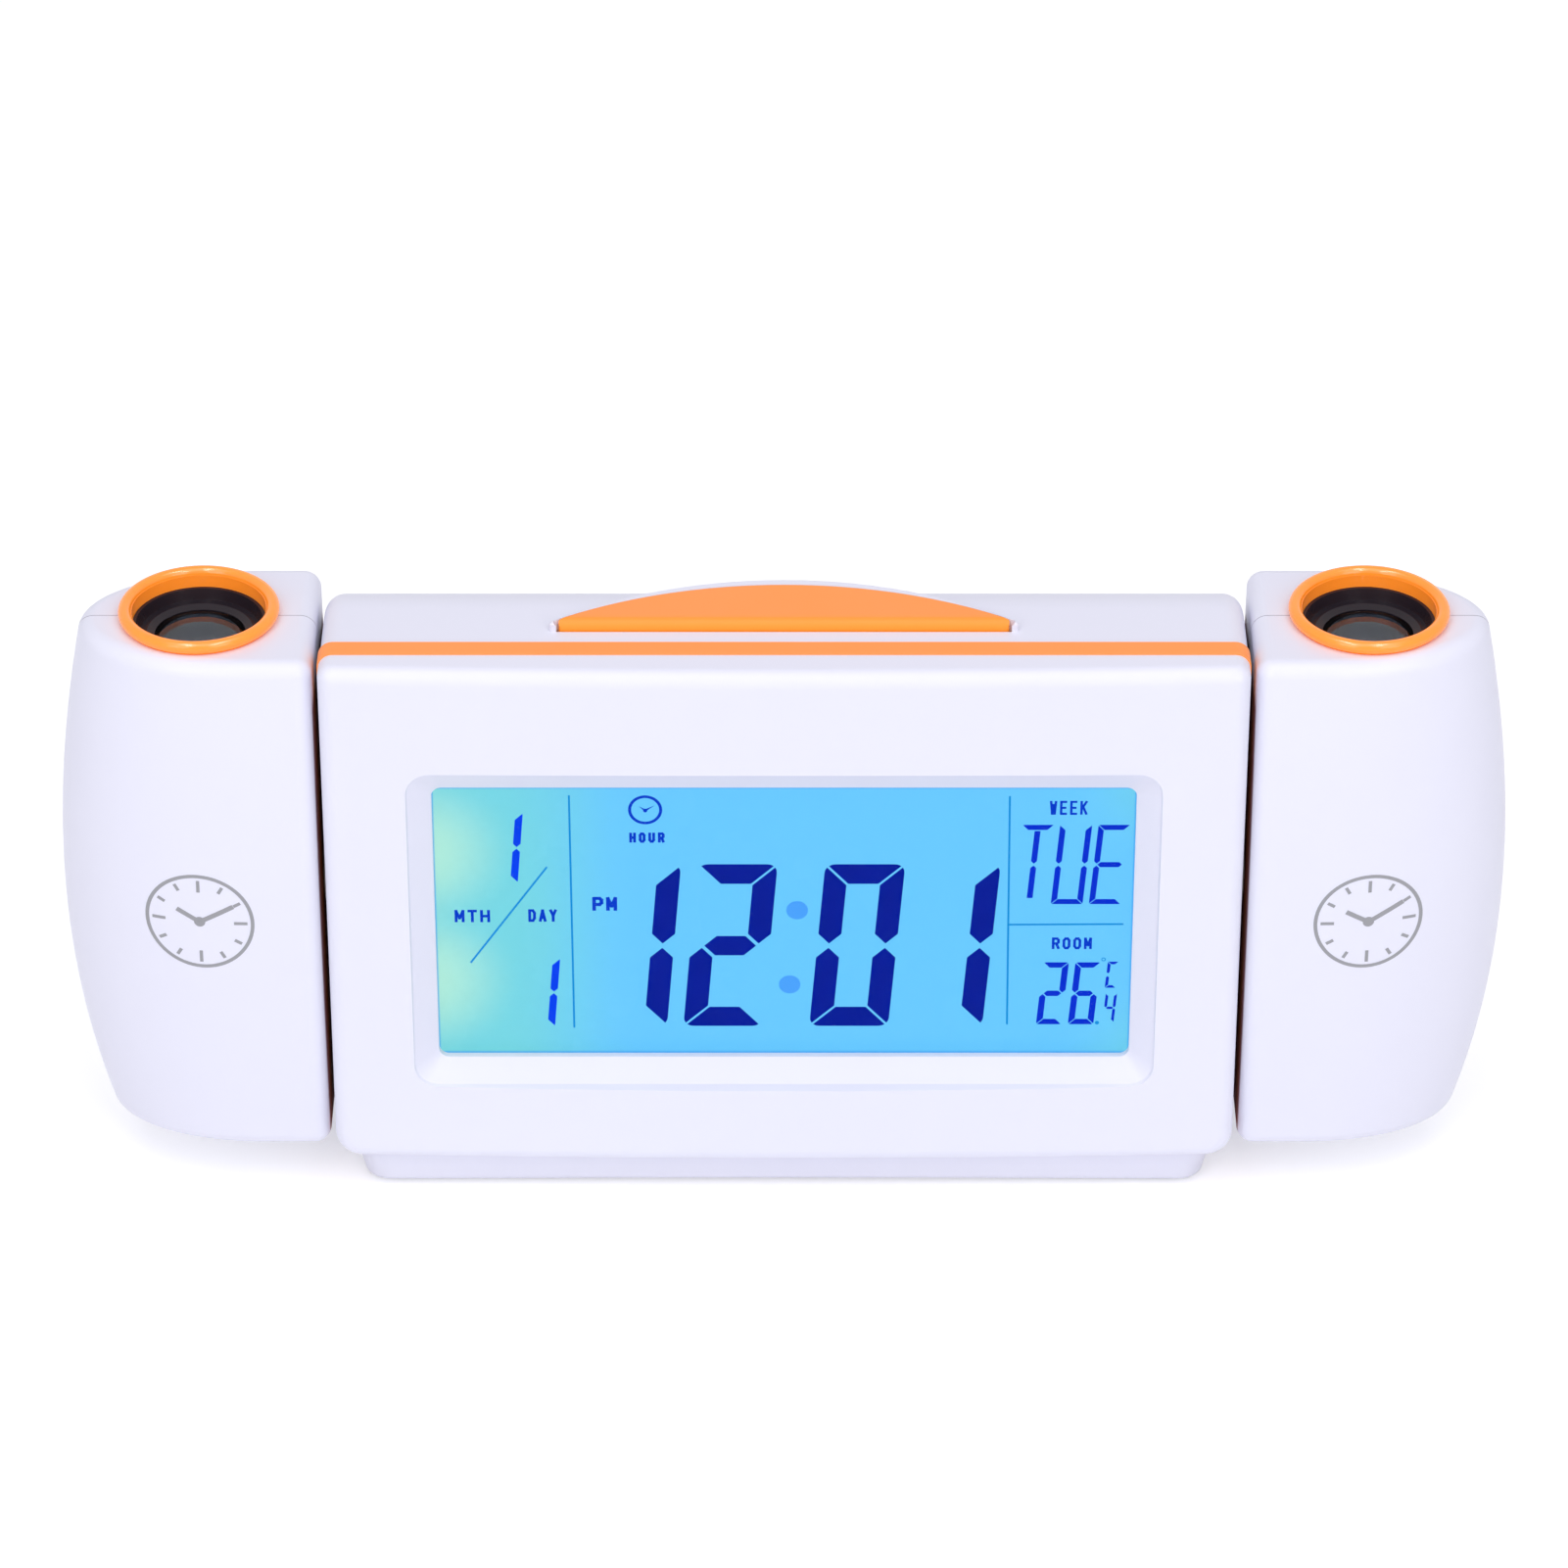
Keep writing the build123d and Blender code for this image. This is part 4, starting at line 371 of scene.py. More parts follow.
def tintWhere(material, mask, color):
    # lays a second colour over a finish, where the mask says so
    tree = material.node_tree
    base = tree.nodes["Principled BSDF"].inputs["Base Color"]
    plain = base.links[0].from_socket
    tree.links.new(mixColor(tree, mask, plain, rgb(*color), (-150, 450)), base)


def alongAxis(tree, axis, bothSides=False):
    # place along one axis of the clock, or the distance from its middle to either side
    coordinates = addNode(tree, "ShaderNodeTexCoord", (-1500, 700))
    split = addNode(tree, "ShaderNodeSeparateXYZ", (-1300, 700))
    tree.links.new(coordinates.outputs["Object"], split.inputs[0])
    if bothSides:
        return mathNode(tree, "ABSOLUTE", split.outputs[axis], None, (-1100, 700))
    return split.outputs[axis]


def podPlastic():
    # the pods' white has a dark seam, and painted shade on the faces turned to the housing, dark red from a
    # painted reflection of the orange trim
    pod = dict(gapShadeFade=(0.06912, 0.06893), topFade=(0.0890, 0.0850), gapShadeColor=(0.20, 0.085, 0.10),
               seamFade=(0.00009, 0.000036), seamColor=(0.32, 0.29, 0.38))
    material = moulded("podPlastic", finishes["white_plastic"])
    tree = material.node_tree
    inner = smoothStep(tree, alongAxis(tree, "X", bothSides=True), *pod["gapShadeFade"], (-900, 700))
    covered = smoothStep(tree, alongAxis(tree, "Z"), *pod["topFade"], (-900, 1300))
    inner = mathNode(tree, "MULTIPLY", inner, covered, (-800, 1300))
    # painted shade in the gap beside the housing, tinted red as a painted reflection of the trim
    tintWhere(material, inner, pod["gapShadeColor"])
    # those inner faces aren't polished
    gloss = tree.nodes["Principled BSDF"].inputs["Roughness"]
    tree.links.new(mathNode(tree, "MAXIMUM", gloss.links[0].from_socket, inner, (-300, 1100)), gloss)
    seam = smoothStep(tree, alongAxis(tree, "Y", bothSides=True), *pod["seamFade"], (-900, 900))
    tintWhere(material, seam, pod["seamColor"])
    return material


def barPlastic():
    # painted highlight: the snooze bar turns yellower where it rounds down to the front
    bar = dict(highlightFade=(-0.0030, -0.0052), highlightColor=(1.0, 0.288, 0.022))
    material = moulded("barPlastic", finishes["orange_plastic"])
    tree = material.node_tree
    low = smoothStep(tree, alongAxis(tree, "Y"), *bar["highlightFade"], (-900, 700))
    tintWhere(material, low, bar["highlightColor"])
    return material


def circuitBoard():
    # green mask over copper tracks, with pads that shine through
    board = dict(mask=(0.012, 0.115, 0.045), track=(0.03, 0.20, 0.08), pad=(0.55, 0.50, 0.38),
                 trackScale=240.0, trackShift=0.35, trackWidth=0.035, padScale=190.0, padSize=0.13,
                 roughness=0.35, bump=0.2, depth=0.00004)
    material, tree, shader, vector = startMaterial("circuitBoard")
    upright = addNode(tree, "ShaderNodeMapping", (-1050, 300))
    upright.inputs["Rotation"].default_value = (math.radians(90), 0, 0)
    tree.links.new(vector, upright.inputs["Vector"])
    tracks = addNode(tree, "ShaderNodeTexBrick", (-900, 300), offset=board["trackShift"])
    tree.links.new(upright.outputs["Vector"], tracks.inputs["Vector"])
    tracks.inputs["Scale"].default_value = board["trackScale"]
    tracks.inputs["Mortar Size"].default_value = board["trackWidth"]
    pads = addNode(tree, "ShaderNodeTexVoronoi", (-900, -100))
    tree.links.new(vector, pads.inputs["Vector"])
    pads.inputs["Scale"].default_value = board["padScale"]
    padMask = mathNode(tree, "LESS_THAN", pads.outputs["Distance"], board["padSize"], (-700, -100))
    color = mixColor(tree, tracks.outputs["Fac"], rgb(*board["mask"]), rgb(*board["track"]), (-650, 300))
    color = mixColor(tree, padMask, color, rgb(*board["pad"]), (-450, 200))
    surface = placeGroup(tree, mouldedGroup, (-450, -150), {
        "Vector": vector, "Color": color, "Second Color": color, "Roughness": board["roughness"],
    })
    tree.links.new(surface.outputs["Color"], shader.inputs["Base Color"])
    tree.links.new(surface.outputs["Roughness"], shader.inputs["Roughness"])
    addBump(tree, shader, tracks.outputs["Fac"], board["bump"], board["depth"], (-200, -200))
    return material


def cellJacket():
    # dark sleeve with a lighter band near the positive end of every cell
    jacket = dict(dark=(0.02, 0.026, 0.04), band=(0.42, 0.33, 0.16), bandFrom=0.009, bandTo=0.019,
                  roughness=0.3, bump=0.1, depth=0.00003)
    material, tree, shader, vector = startMaterial("cellJacket")
    along = alongAxis(tree, "X")
    after = mathNode(tree, "GREATER_THAN", along, jacket["bandFrom"], (-800, 250))
    before = mathNode(tree, "LESS_THAN", along, jacket["bandTo"], (-800, 100))
    band = mathNode(tree, "MULTIPLY", after, before, (-600, 200))
    color = mixColor(tree, band, rgb(*jacket["dark"]), rgb(*jacket["band"]), (-400, 200))
    surface = placeGroup(tree, mouldedGroup, (-200, 0), {
        "Vector": vector, "Color": color, "Second Color": color, "Roughness": jacket["roughness"],
    })
    tree.links.new(surface.outputs["Color"], shader.inputs["Base Color"])
    tree.links.new(surface.outputs["Roughness"], shader.inputs["Roughness"])
    addBump(tree, shader, surface.outputs["Height"], jacket["bump"], jacket["depth"], (-100, -250))
    return material


def clearPart(name, look):
    # glass and clear acrylic: plain transmission, faint smears in the gloss
    smear = dict(noise=(140.0, 5.0, 0.65), depth=0.00002)
    material, tree, shader, vector = startMaterial(name)
    smears = noiseNode(tree, vector, *smear["noise"], (-700, 0))
    low = mathNode(tree, "MULTIPLY", smears, look["smear"], (-500, 0))
    rough = mathNode(tree, "ADD", low, look["roughness"], (-300, 0))
    tint = mixColor(tree, smears, rgb(*look["color"]), rgb(*look["second"]), (-400, 250))
    tree.links.new(tint, shader.inputs["Base Color"])
    tree.links.new(rough, shader.inputs["Roughness"])
    addBump(tree, shader, smears, look["bump"], smear["depth"], (-300, -250))
    shader.inputs["IOR"].default_value = look["ior"]
    shader.inputs["Transmission Weight"].default_value = look["transmission"]
    return material


# what shows of the glass from the front and above: the window's rim hides the sides, its lip the top
windowLow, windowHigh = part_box("display_window")
windowRim = dict(side=0.0023, bottom=0.0015, top=0.0039)
shownDisplay = dict(
    left=windowLow.x + windowRim["side"], right=windowHigh.x - windowRim["side"],
    bottom=windowLow.z + windowRim["bottom"], top=windowHigh.z - windowRim["top"],
)


def litDisplay():
    # backlit panel: blue, greener towards the lamps at its left edge, with painted shade along its rim
    panel = dict(
        blue=(0.134, 0.565, 0.96), left=(0.185, 0.67, 0.70), hot=(0.47, 0.84, 0.66), rim=(0.035, 0.30, 0.86),
        unlit=(0.004, 0.012, 0.02), unlitShare=0.97, strength=1.0, specular=0.1,
        leftFade=(-0.020, -0.043), patches=(60.0, 3.0, 0.5), patchSpread=0.30, patchLeast=0.75,
        rightFade=(0.040, 0.056), middle=0.048, cornerFade=(0.008, 0.026), cornerShare=0.55,
        lampX=-0.0540, lampY=-0.0116, lampHeights=(0.0600, 0.0372), lampFade=(0.0150, 0.002), lampShare=0.85,
        rimShadeWidth=0.00035, rimShadeCore=0.2, rimShadeShare=0.62,
        fine=(900.0, 2.0, 0.6), fineSpread=0.06, fineLeast=0.97,
        roughness=0.22, roughSpread=0.1, bump=0.03, depth=0.00002,
    )
    material, tree, shader, vector = startMaterial("litDisplay")
    split = addNode(tree, "ShaderNodeSeparateXYZ", (-1500, 300))
    tree.links.new(vector, split.inputs[0])

    # greener to the left, in uneven patches
    toLeft = smoothStep(tree, split.outputs["X"], *panel["leftFade"], (-1300, 400))
    uneven = noiseNode(tree, vector, *panel["patches"], (-1300, 150))
    patches = mathNode(tree, "MULTIPLY", uneven, panel["patchSpread"], (-1100, 150))
    patches = mathNode(tree, "ADD", patches, panel["patchLeast"], (-1000, 150))
    leftAmount = mathNode(tree, "MULTIPLY", toLeft, patches, (-900, 300), clamp=True)
    color = mixColor(tree, leftAmount, rgb(*panel["blue"]), rgb(*panel["left"]), (-700, 400))

    # the same tone, fainter, in the two right corners
    toRight = smoothStep(tree, split.outputs["X"], *panel["rightFade"], (-1300, -700))
    fromMiddle = mathNode(tree, "SUBTRACT", split.outputs["Z"], panel["middle"], (-1300, -850))
    fromMiddle = mathNode(tree, "ABSOLUTE", fromMiddle, None, (-1150, -850))
    toCorner = smoothStep(tree, fromMiddle, *panel["cornerFade"], (-1000, -850))
    rightAmount = mathNode(tree, "MULTIPLY", toRight, toCorner, (-850, -750))
    rightAmount = mathNode(tree, "MULTIPLY", rightAmount, panel["cornerShare"], (-700, -750))
    color = mixColor(tree, rightAmount, color, rgb(*panel["left"]), (-550, 300))

    # two hot spots beside the lamps
    for lampHeight in panel["lampHeights"]:
        away = addNode(tree, "ShaderNodeVectorMath", (-1300, -100), operation="DISTANCE")
        tree.links.new(vector, away.inputs[0])
        away.inputs[1].default_value = (panel["lampX"], panel["lampY"], lampHeight)
        near = smoothStep(tree, away.outputs["Value"], *panel["lampFade"], (-1100, -100))
        amount = mathNode(tree, "MULTIPLY", near, panel["lampShare"], (-900, -100))
        color = mixColor(tree, amount, color, rgb(*panel["hot"]), (-400, 300))

    # painted shade: a darker line along the rim of the glass that shows
    rimShades = None
    for axis, side, inward in (("Z", "bottom", 1), ("Z", "top", -1), ("X", "right", -1), ("X", "left", 1)):
        width = inward * panel["rimShadeWidth"]
        start, end = (shownDisplay[side] + share * width for share in (1, panel["rimShadeCore"]))
        rim = smoothStep(tree, split.outputs[axis], start, end, (-1000, -400))
        rimShades = rim if rimShades is None else mathNode(tree, "MAXIMUM", rimShades, rim, (-800, -400))
    rimShadeAmount = mathNode(tree, "MULTIPLY", rimShades, panel["rimShadeShare"], (-500, -400))
    color = mixColor(tree, rimShadeAmount, color, rgb(*panel["rim"]), (-250, 300))

    fine = noiseNode(tree, vector, *panel["fine"], (-500, -100))
    shade = mathNode(tree, "MULTIPLY", fine, panel["fineSpread"], (-350, -100))
    shade = mathNode(tree, "ADD", shade, panel["fineLeast"], (-200, -100))
    glow = addNode(tree, "ShaderNodeVectorMath", (-100, 200), operation="SCALE")
    tree.links.new(color, glow.inputs[0])
    tree.links.new(shade, glow.inputs["Scale"])
    tree.links.new(glow.outputs["Vector"], shader.inputs["Emission Color"])
    shader.inputs["Emission Strength"].default_value = panel["strength"]
    shader.inputs["Specular IOR Level"].default_value = panel["specular"]
    base = mixColor(tree, panel["unlitShare"], color, rgb(*panel["unlit"]), (0, 450))
    tree.links.new(base, shader.inputs["Base Color"])
    rough = mathNode(tree, "MULTIPLY", uneven, panel["roughSpread"], (-300, -600))
    rough = mathNode(tree, "ADD", rough, panel["roughness"], (-150, -600))
    tree.links.new(rough, shader.inputs["Roughness"])
    addBump(tree, shader, fine, panel["bump"], panel["depth"], (-100, -300))
    return material


def liquidCrystal(name, ink):
    # a segment that blocks the backlight, never quite evenly
    cell = dict(cloud=(240.0, 3.0, 0.5), strength=1.0, specular=0.02, unlitShare=0.97, roughness=0.4,
                roughSpread=0.2, bump=0.05, depth=0.00001)
    material, tree, shader, vector = startMaterial(name)
    cloud = noiseNode(tree, vector, *cell["cloud"], (-700, 100))
    color = mixColor(tree, cloud, rgb(*ink["color"]), rgb(*ink["second"]), (-450, 150))
    tree.links.new(color, shader.inputs["Emission Color"])
    shader.inputs["Emission Strength"].default_value = cell["strength"]
    shader.inputs["Specular IOR Level"].default_value = cell["specular"]
    base = mixColor(tree, cell["unlitShare"], color, rgb(0, 0, 0), (-250, 350))
    tree.links.new(base, shader.inputs["Base Color"])
    rough = mathNode(tree, "MULTIPLY", cloud, cell["roughSpread"], (-450, -150))
    rough = mathNode(tree, "ADD", rough, cell["roughness"], (-250, -150))
    tree.links.new(rough, shader.inputs["Roughness"])
    addBump(tree, shader, cloud, cell["bump"], cell["depth"], (-250, -300))
    return material


materials = {slot: moulded(slot, finish) for slot, finish in finishes.items()}
materials["circuit_board"] = circuitBoard()
materials["cell_jacket"] = cellJacket()
materials["clear_acrylic"] = clearPart("clearWindow", dict(
    color=(0.97, 0.985, 1.0), second=(0.94, 0.97, 1.0), roughness=0.0, smear=0.012, ior=1.06,
    transmission=1.0, bump=0.02,
))
materials["guide_acrylic"] = clearPart("lightGuide", dict(
    color=(0.8, 0.93, 1.0), second=(0.7, 0.88, 1.0), roughness=0.15, smear=0.2, ior=1.49,
    transmission=0.6, bump=0.3,
))
materials["lens_glass"] = clearPart("lensGlass", dict(
    color=(0.58, 0.61, 0.70), second=(0.53, 0.58, 0.67), roughness=0.0, smear=0.012, ior=1.32,
    transmission=1.0, bump=0.0,
))
materials["lcd"] = litDisplay()

# nodes whose finish differs from their slot's, by the end of their name
specialFinishes = {
    "focus_ring": moulded("ringPlastic", ringFinish),
    "lens_barrel": moulded("barrelPlastic", barrelFinish),
    "pod_front_shell": podPlastic(),
    "snooze_bar": barPlastic(),
}
specialFinishes["pod_rear_shell"] = specialFinishes["pod_front_shell"]

slotOfNode = {row["node"]: row["material_slot"] for row in frame["record"]["subparts"]}
for nodeName, node in nodes.items():
    chosen = materials[slotOfNode[nodeName]]
    for ending, special in specialFinishes.items():
        if nodeName.endswith(ending):
            chosen = special
    node.data.materials.clear()
    node.data.materials.append(chosen)
print("finishes set on", len(slotOfNode), "nodes")


# the two coil springs under the snooze bar
coil = dict(radius=0.00205, wire=0.00035, turns=4, sides=14, steps=28, spread=0.020, pressed=0.0012,
            merge=0.000001, smoothAngle=40)
springLow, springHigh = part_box("snooze_springs")
springHeight = springHigh.z - springLow.z


def coilSpring(centreX):
    dropSelection()
    upright = (math.radians(90), 0, 0)
    bpy.ops.mesh.primitive_circle_add(vertices=coil["sides"], radius=coil["wire"], rotation=upright)
    spring = bpy.context.object
    settle(spring)
    editAll()
    bpy.ops.transform.translate(value=(coil["radius"], 0, 0))
    endEdit()
    screw = spring.modifiers.new("coil", "SCREW")
    screw.axis = "Z"
    screw.iterations = coil["turns"]
    screw.steps = screw.render_steps = coil["steps"]
    screw.screw_offset = (springHeight - 2 * coil["wire"]) / coil["turns"]
    applyModifiers(spring)
    editAll()
    bpy.ops.mesh.remove_doubles(threshold=coil["merge"])
    bpy.ops.mesh.fill_holes(sides=0)
    bpy.ops.mesh.select_all(action="SELECT")
    bpy.ops.mesh.normals_make_consistent(inside=False)
    endEdit()
    spring.location = (centreX, (springLow.y + springHigh.y) / 2, springLow.z + coil["wire"])
    settle(spring)
    return spring


coils = joinPieces([coilSpring(-coil["spread"]), coilSpring(coil["spread"])], "snooze_coils")
bpy.ops.object.shade_smooth_by_angle(angle=math.radians(coil["smoothAngle"]))
dress(coils, materials["steel"], "clock_body")
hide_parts("snooze_springs")
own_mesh(coils)
print("springs coiled")


# what the display shows; every size and place from here to the marks is in millimetres
displayPlane = dict(front=-11.64, thickness=0.03, drop=0.3)
digitSlant = 0.0807


def thicken(thickness):
    # pulls the flat piece in hand out towards the back; no thickness leaves it a bare face
    if thickness:
        editAll()
        bpy.ops.mesh.extrude_region_move(TRANSFORM_OT_translate={"value": (0, thickness * mm, 0)})
        bpy.ops.mesh.select_all(action="SELECT")
        bpy.ops.mesh.normals_make_consistent(inside=False)
        endEdit()


def flatPlate(corners, front, thickness, drop):
    # a thin plate that faces the front; corners are (x, z), clockwise or not
    dropSelection()
    bpy.ops.mesh.primitive_circle_add(vertices=len(corners), radius=mm, fill_type="NGON")
    plate = bpy.context.object
    for vertex, (x, z) in zip(plate.data.vertices, corners):
        vertex.co = (x * mm, front * mm, (z - drop) * mm)
    settle(plate)
    thicken(thickness)
    return plate


def flatDisc(centre, radius, bore, sides, front, thickness, drop):
    # a thin disc, or a ring where it has a bore
    dropSelection()
    bpy.ops.mesh.primitive_circle_add(
        vertices=sides, radius=radius * mm, fill_type="NGON", rotation=(math.radians(90), 0, 0),
        location=(centre[0] * mm, front * mm, (centre[1] - drop) * mm),
    )
    disc = bpy.context.object
    settle(disc)
    if bore:
        editAll()
        bpy.ops.mesh.inset(thickness=(radius - bore) * mm)
        bpy.ops.mesh.delete(type="ONLY_FACE")
        endEdit()
    thicken(thickness)
    return disc


def ruledLine(start, end, width, **plane):
    along = Vector((end[0] - start[0], end[1] - start[1]))
    side = Vector((-along.y, along.x)).normalized() * width / 2
    return flatPlate([
        (start[0] + side.x, start[1] + side.y), (end[0] + side.x, end[1] + side.y),
        (end[0] - side.x, end[1] - side.y), (start[0] - side.x, start[1] - side.y),
    ], **plane)


def roundedOutline(halfWidth, halfHeight, radius, steps=5):
    points = []
    for cornerX, cornerZ, start in ((1, 1, 0), (-1, 1, 90), (-1, -1, 180), (1, -1, 270)):
        for step in range(steps + 1):
            angle = math.radians(start + 90 * step / steps)
            points.append((
                cornerX * (halfWidth - radius) + radius * math.cos(angle),
                cornerZ * (halfHeight - radius) + radius * math.sin(angle),
            ))
    return points


clipping = dict(crossing=1e-12, onEdge=1e-9, closest=0.004)


def clipTo(shape, outline):
    # keeps the part of a convex shape inside a convex outline that runs counter-clockwise
    for index in range(len(outline)):
        ax, az = outline[index - 1]
        bx, bz = outline[index]
        kept = []
        for place in range(len(shape)):
            px, pz = shape[place - 1]
            qx, qz = shape[place]
            sideP = (bx - ax) * (pz - az) - (bz - az) * (px - ax)
            sideQ = (bx - ax) * (qz - az) - (bz - az) * (qx - ax)
            if sideP * sideQ < -clipping["crossing"]:
                share = sideP / (sideP - sideQ)
                kept.append((px + share * (qx - px), pz + share * (qz - pz)))
            if sideQ >= -clipping["onEdge"]:
                kept.append((qx, qz))
        shape = kept
    tidy = []
    for point in shape:
        if not tidy or math.dist(point, tidy[-1]) > clipping["closest"]:
            tidy.append(point)
    return tidy


segmentEnds = dict(side=0.7, middle=1.4, stem=2.4)  # side in gaps, the others in side cuts


def segmentShapes(size):
    # the seven segments of a character and the two halves of a stem, before they are slanted
    halfWidth = size["width"] / 2
    halfHeight = size["height"] / 2
    across = size["stroke"]
    cut = size["gap"] * segmentEnds["side"]
    middle = size["middleGap"] / 2
    top = [(-halfWidth + cut, halfHeight), (-halfWidth + across + cut, halfHeight - across),
           (halfWidth - across - cut, halfHeight - across), (halfWidth - cut, halfHeight)]
    right = [(halfWidth, halfHeight - cut), (halfWidth - across, halfHeight - across - cut),
             (halfWidth - across, middle + across / 2), (halfWidth - across / 2, middle),
             (halfWidth, middle + across / 2)]
    bar = halfWidth - across / 2 - cut * segmentEnds["middle"]
    centre = [(-bar, 0), (-bar + across / 2, -across / 2), (bar - across / 2, -across / 2), (bar, 0),
              (bar - across / 2, across / 2), (-bar + across / 2, across / 2)]
    stemEnd = halfHeight - across - cut * segmentEnds["stem"]
    stem = [(-across / 2, stemEnd), (-across / 2, middle + across / 2), (0, middle),
            (across / 2, middle + across / 2), (across / 2, stemEnd)]
    shapes = {
        "a": top,
        "b": right,
        "c": [(x, -z) for x, z in right],
        "d": [(x, -z) for x, z in top],
        "e": [(-x, -z) for x, z in right],
        "f": [(-x, z) for x, z in right],
        "g": centre,
        "stemTop": stem,
        "stemLow": [(x, -z) for x, z in stem],
    }
    outline = roundedOutline(halfWidth, halfHeight, size["corner"])
    return {key: clipTo(shape, outline) for key, shape in shapes.items()}


def showSegments(name, size, middle, lit, material):
    # lit is a row of (x of the character's middle, segments)
    shapes = segmentShapes(size)
    plates = []
    for centreX, segments in lit:
        for segment in segments:
            corners = [(centreX + x + digitSlant * z, middle + z) for x, z in shapes[segment]]
            plates.append(flatPlate(corners, **displayPlane))
    dress(joinPieces(plates, name), material, "clock_body")


inks = {
    "deep": dict(color=(0.0015, 0.013, 0.34), second=(0.001, 0.0105, 0.27)),
    "bright": dict(color=(0.0015, 0.055, 0.90), second=(0.0015, 0.045, 0.78)),
    "middling": dict(color=(0.002, 0.030, 0.66), second=(0.002, 0.026, 0.56)),
    "label": dict(color=(0.003, 0.050, 0.62), second=(0.003, 0.042, 0.55)),
    "line": dict(color=(0.010, 0.26, 0.74), second=(0.008, 0.29, 0.66)),
    "ghost": dict(color=(0.075, 0.37, 0.96), second=(0.07, 0.35, 0.93)),
}
inkMaterials = {key: liquidCrystal(key + "Segments", ink) for key, ink in inks.items()}

hourDigits = dict(width=11.9, height=29.0, stroke=3.45, gap=0.36, middleGap=0.8, corner=1.5)
showSegments("hour_and_minute_digits", hourDigits, 43.53,
             [(-22.42, "bc"), (-8.06, "abged"), (10.92, "abcdef"), (25.11, "bc")], inkMaterials["deep"])
dateDigits = dict(width=5.6, height=12.2, stroke=1.12, gap=0.1, middleGap=0.32, corner=0.35)
showSegments("month_digit", dateDigits, 60.93, [(-41.94, "bc")], inkMaterials["bright"])
showSegments("date_digit", dateDigits, 35.10, [(-36.85, "bc")], inkMaterials["bright"])
dayLetters = dict(width=4.75, height=14.0, stroke=0.88, gap=0.12, middleGap=0.36, corner=0.3)
showSegments("day_letters", dayLetters, 57.98,
             [(37.10, ["a", "stemTop", "stemLow"]), (42.72, "fbecd"), (48.40, "afged")],
             inkMaterials["middling"])
temperatureDigits = dict(width=3.85, height=11.2, stroke=0.95, gap=0.14, middleGap=0.3, corner=0.42)
showSegments("temperature_digits", temperatureDigits, 34.93, [(40.37, "abged"), (45.18, "afgedc")],
             inkMaterials["middling"])
smallLetter = dict(width=1.65, height=4.7, stroke=0.46, gap=0.12, middleGap=0.5, corner=0.12)
showSegments("temperature_unit", smallLetter, 38.30, [(49.22, "afed")], inkMaterials["middling"])
smallDigit = dict(width=1.7, height=5.2, stroke=0.42, gap=0.1, middleGap=0.2, corner=0.1)
showSegments("temperature_tenth", smallDigit, 32.30, [(49.05, "fgbc")], inkMaterials["middling"])
print("digits set")

colon = dict(dots=((1.96, 49.88), (0.85, 36.55)), radius=1.62, sides=40)
colonDots = [flatDisc(dot, colon["radius"], 0, colon["sides"], **displayPlane) for dot in colon["dots"]]
dress(joinPieces(colonDots, "colon_dots"), inkMaterials["ghost"], "clock_body")

iconRing = dict(centre=(-20.54, 67.62), radius=2.53, bore=2.08, sides=40)
iconHub = dict(centre=(-20.54, 67.5), radius=0.32, bore=0, sides=16)
iconHands = (
    [(-21.45, 68.22), (-20.54, 67.28), (-20.54, 67.72)],
    [(-19.2, 68.36), (-20.54, 67.72), (-20.54, 67.28)],
)
iconPlates = [flatDisc(**iconRing, **displayPlane)]
iconPlates += [flatPlate(hand, **displayPlane) for hand in iconHands]
iconPlates.append(flatDisc(**iconHub, **displayPlane))
dress(joinPieces(iconPlates, "time_icon"), inkMaterials["label"], "clock_body")

degreeSign = dict(centre=(47.92, 41.06), radius=0.34, bore=0.2, sides=16)
decimalPoint = dict(centre=(47.2, 29.6), radius=0.32, bore=0, sides=16)
temperatureMarks = [flatDisc(**mark, **displayPlane) for mark in (degreeSign, decimalPoint)]
dress(joinPieces(temperatureMarks, "temperature_marks"), inkMaterials["line"], "clock_body")

dividers = dict(width=0.3, runs=(
    ((-31.78, 70.16), (-31.64, 28.7)),
    ((-35.25, 57.56), (-46.99, 40.47)),
    ((33.37, 70.03), (33.63, 29.29)),
    ((33.5, 47.3), (50.75, 47.4)),
))
dividerPlates = [ruledLine(start, end, dividers["width"], **displayPlane) for start, end in dividers["runs"]]
dress(joinPieces(dividerPlates, "display_lines"), inkMaterials["line"], "clock_body")


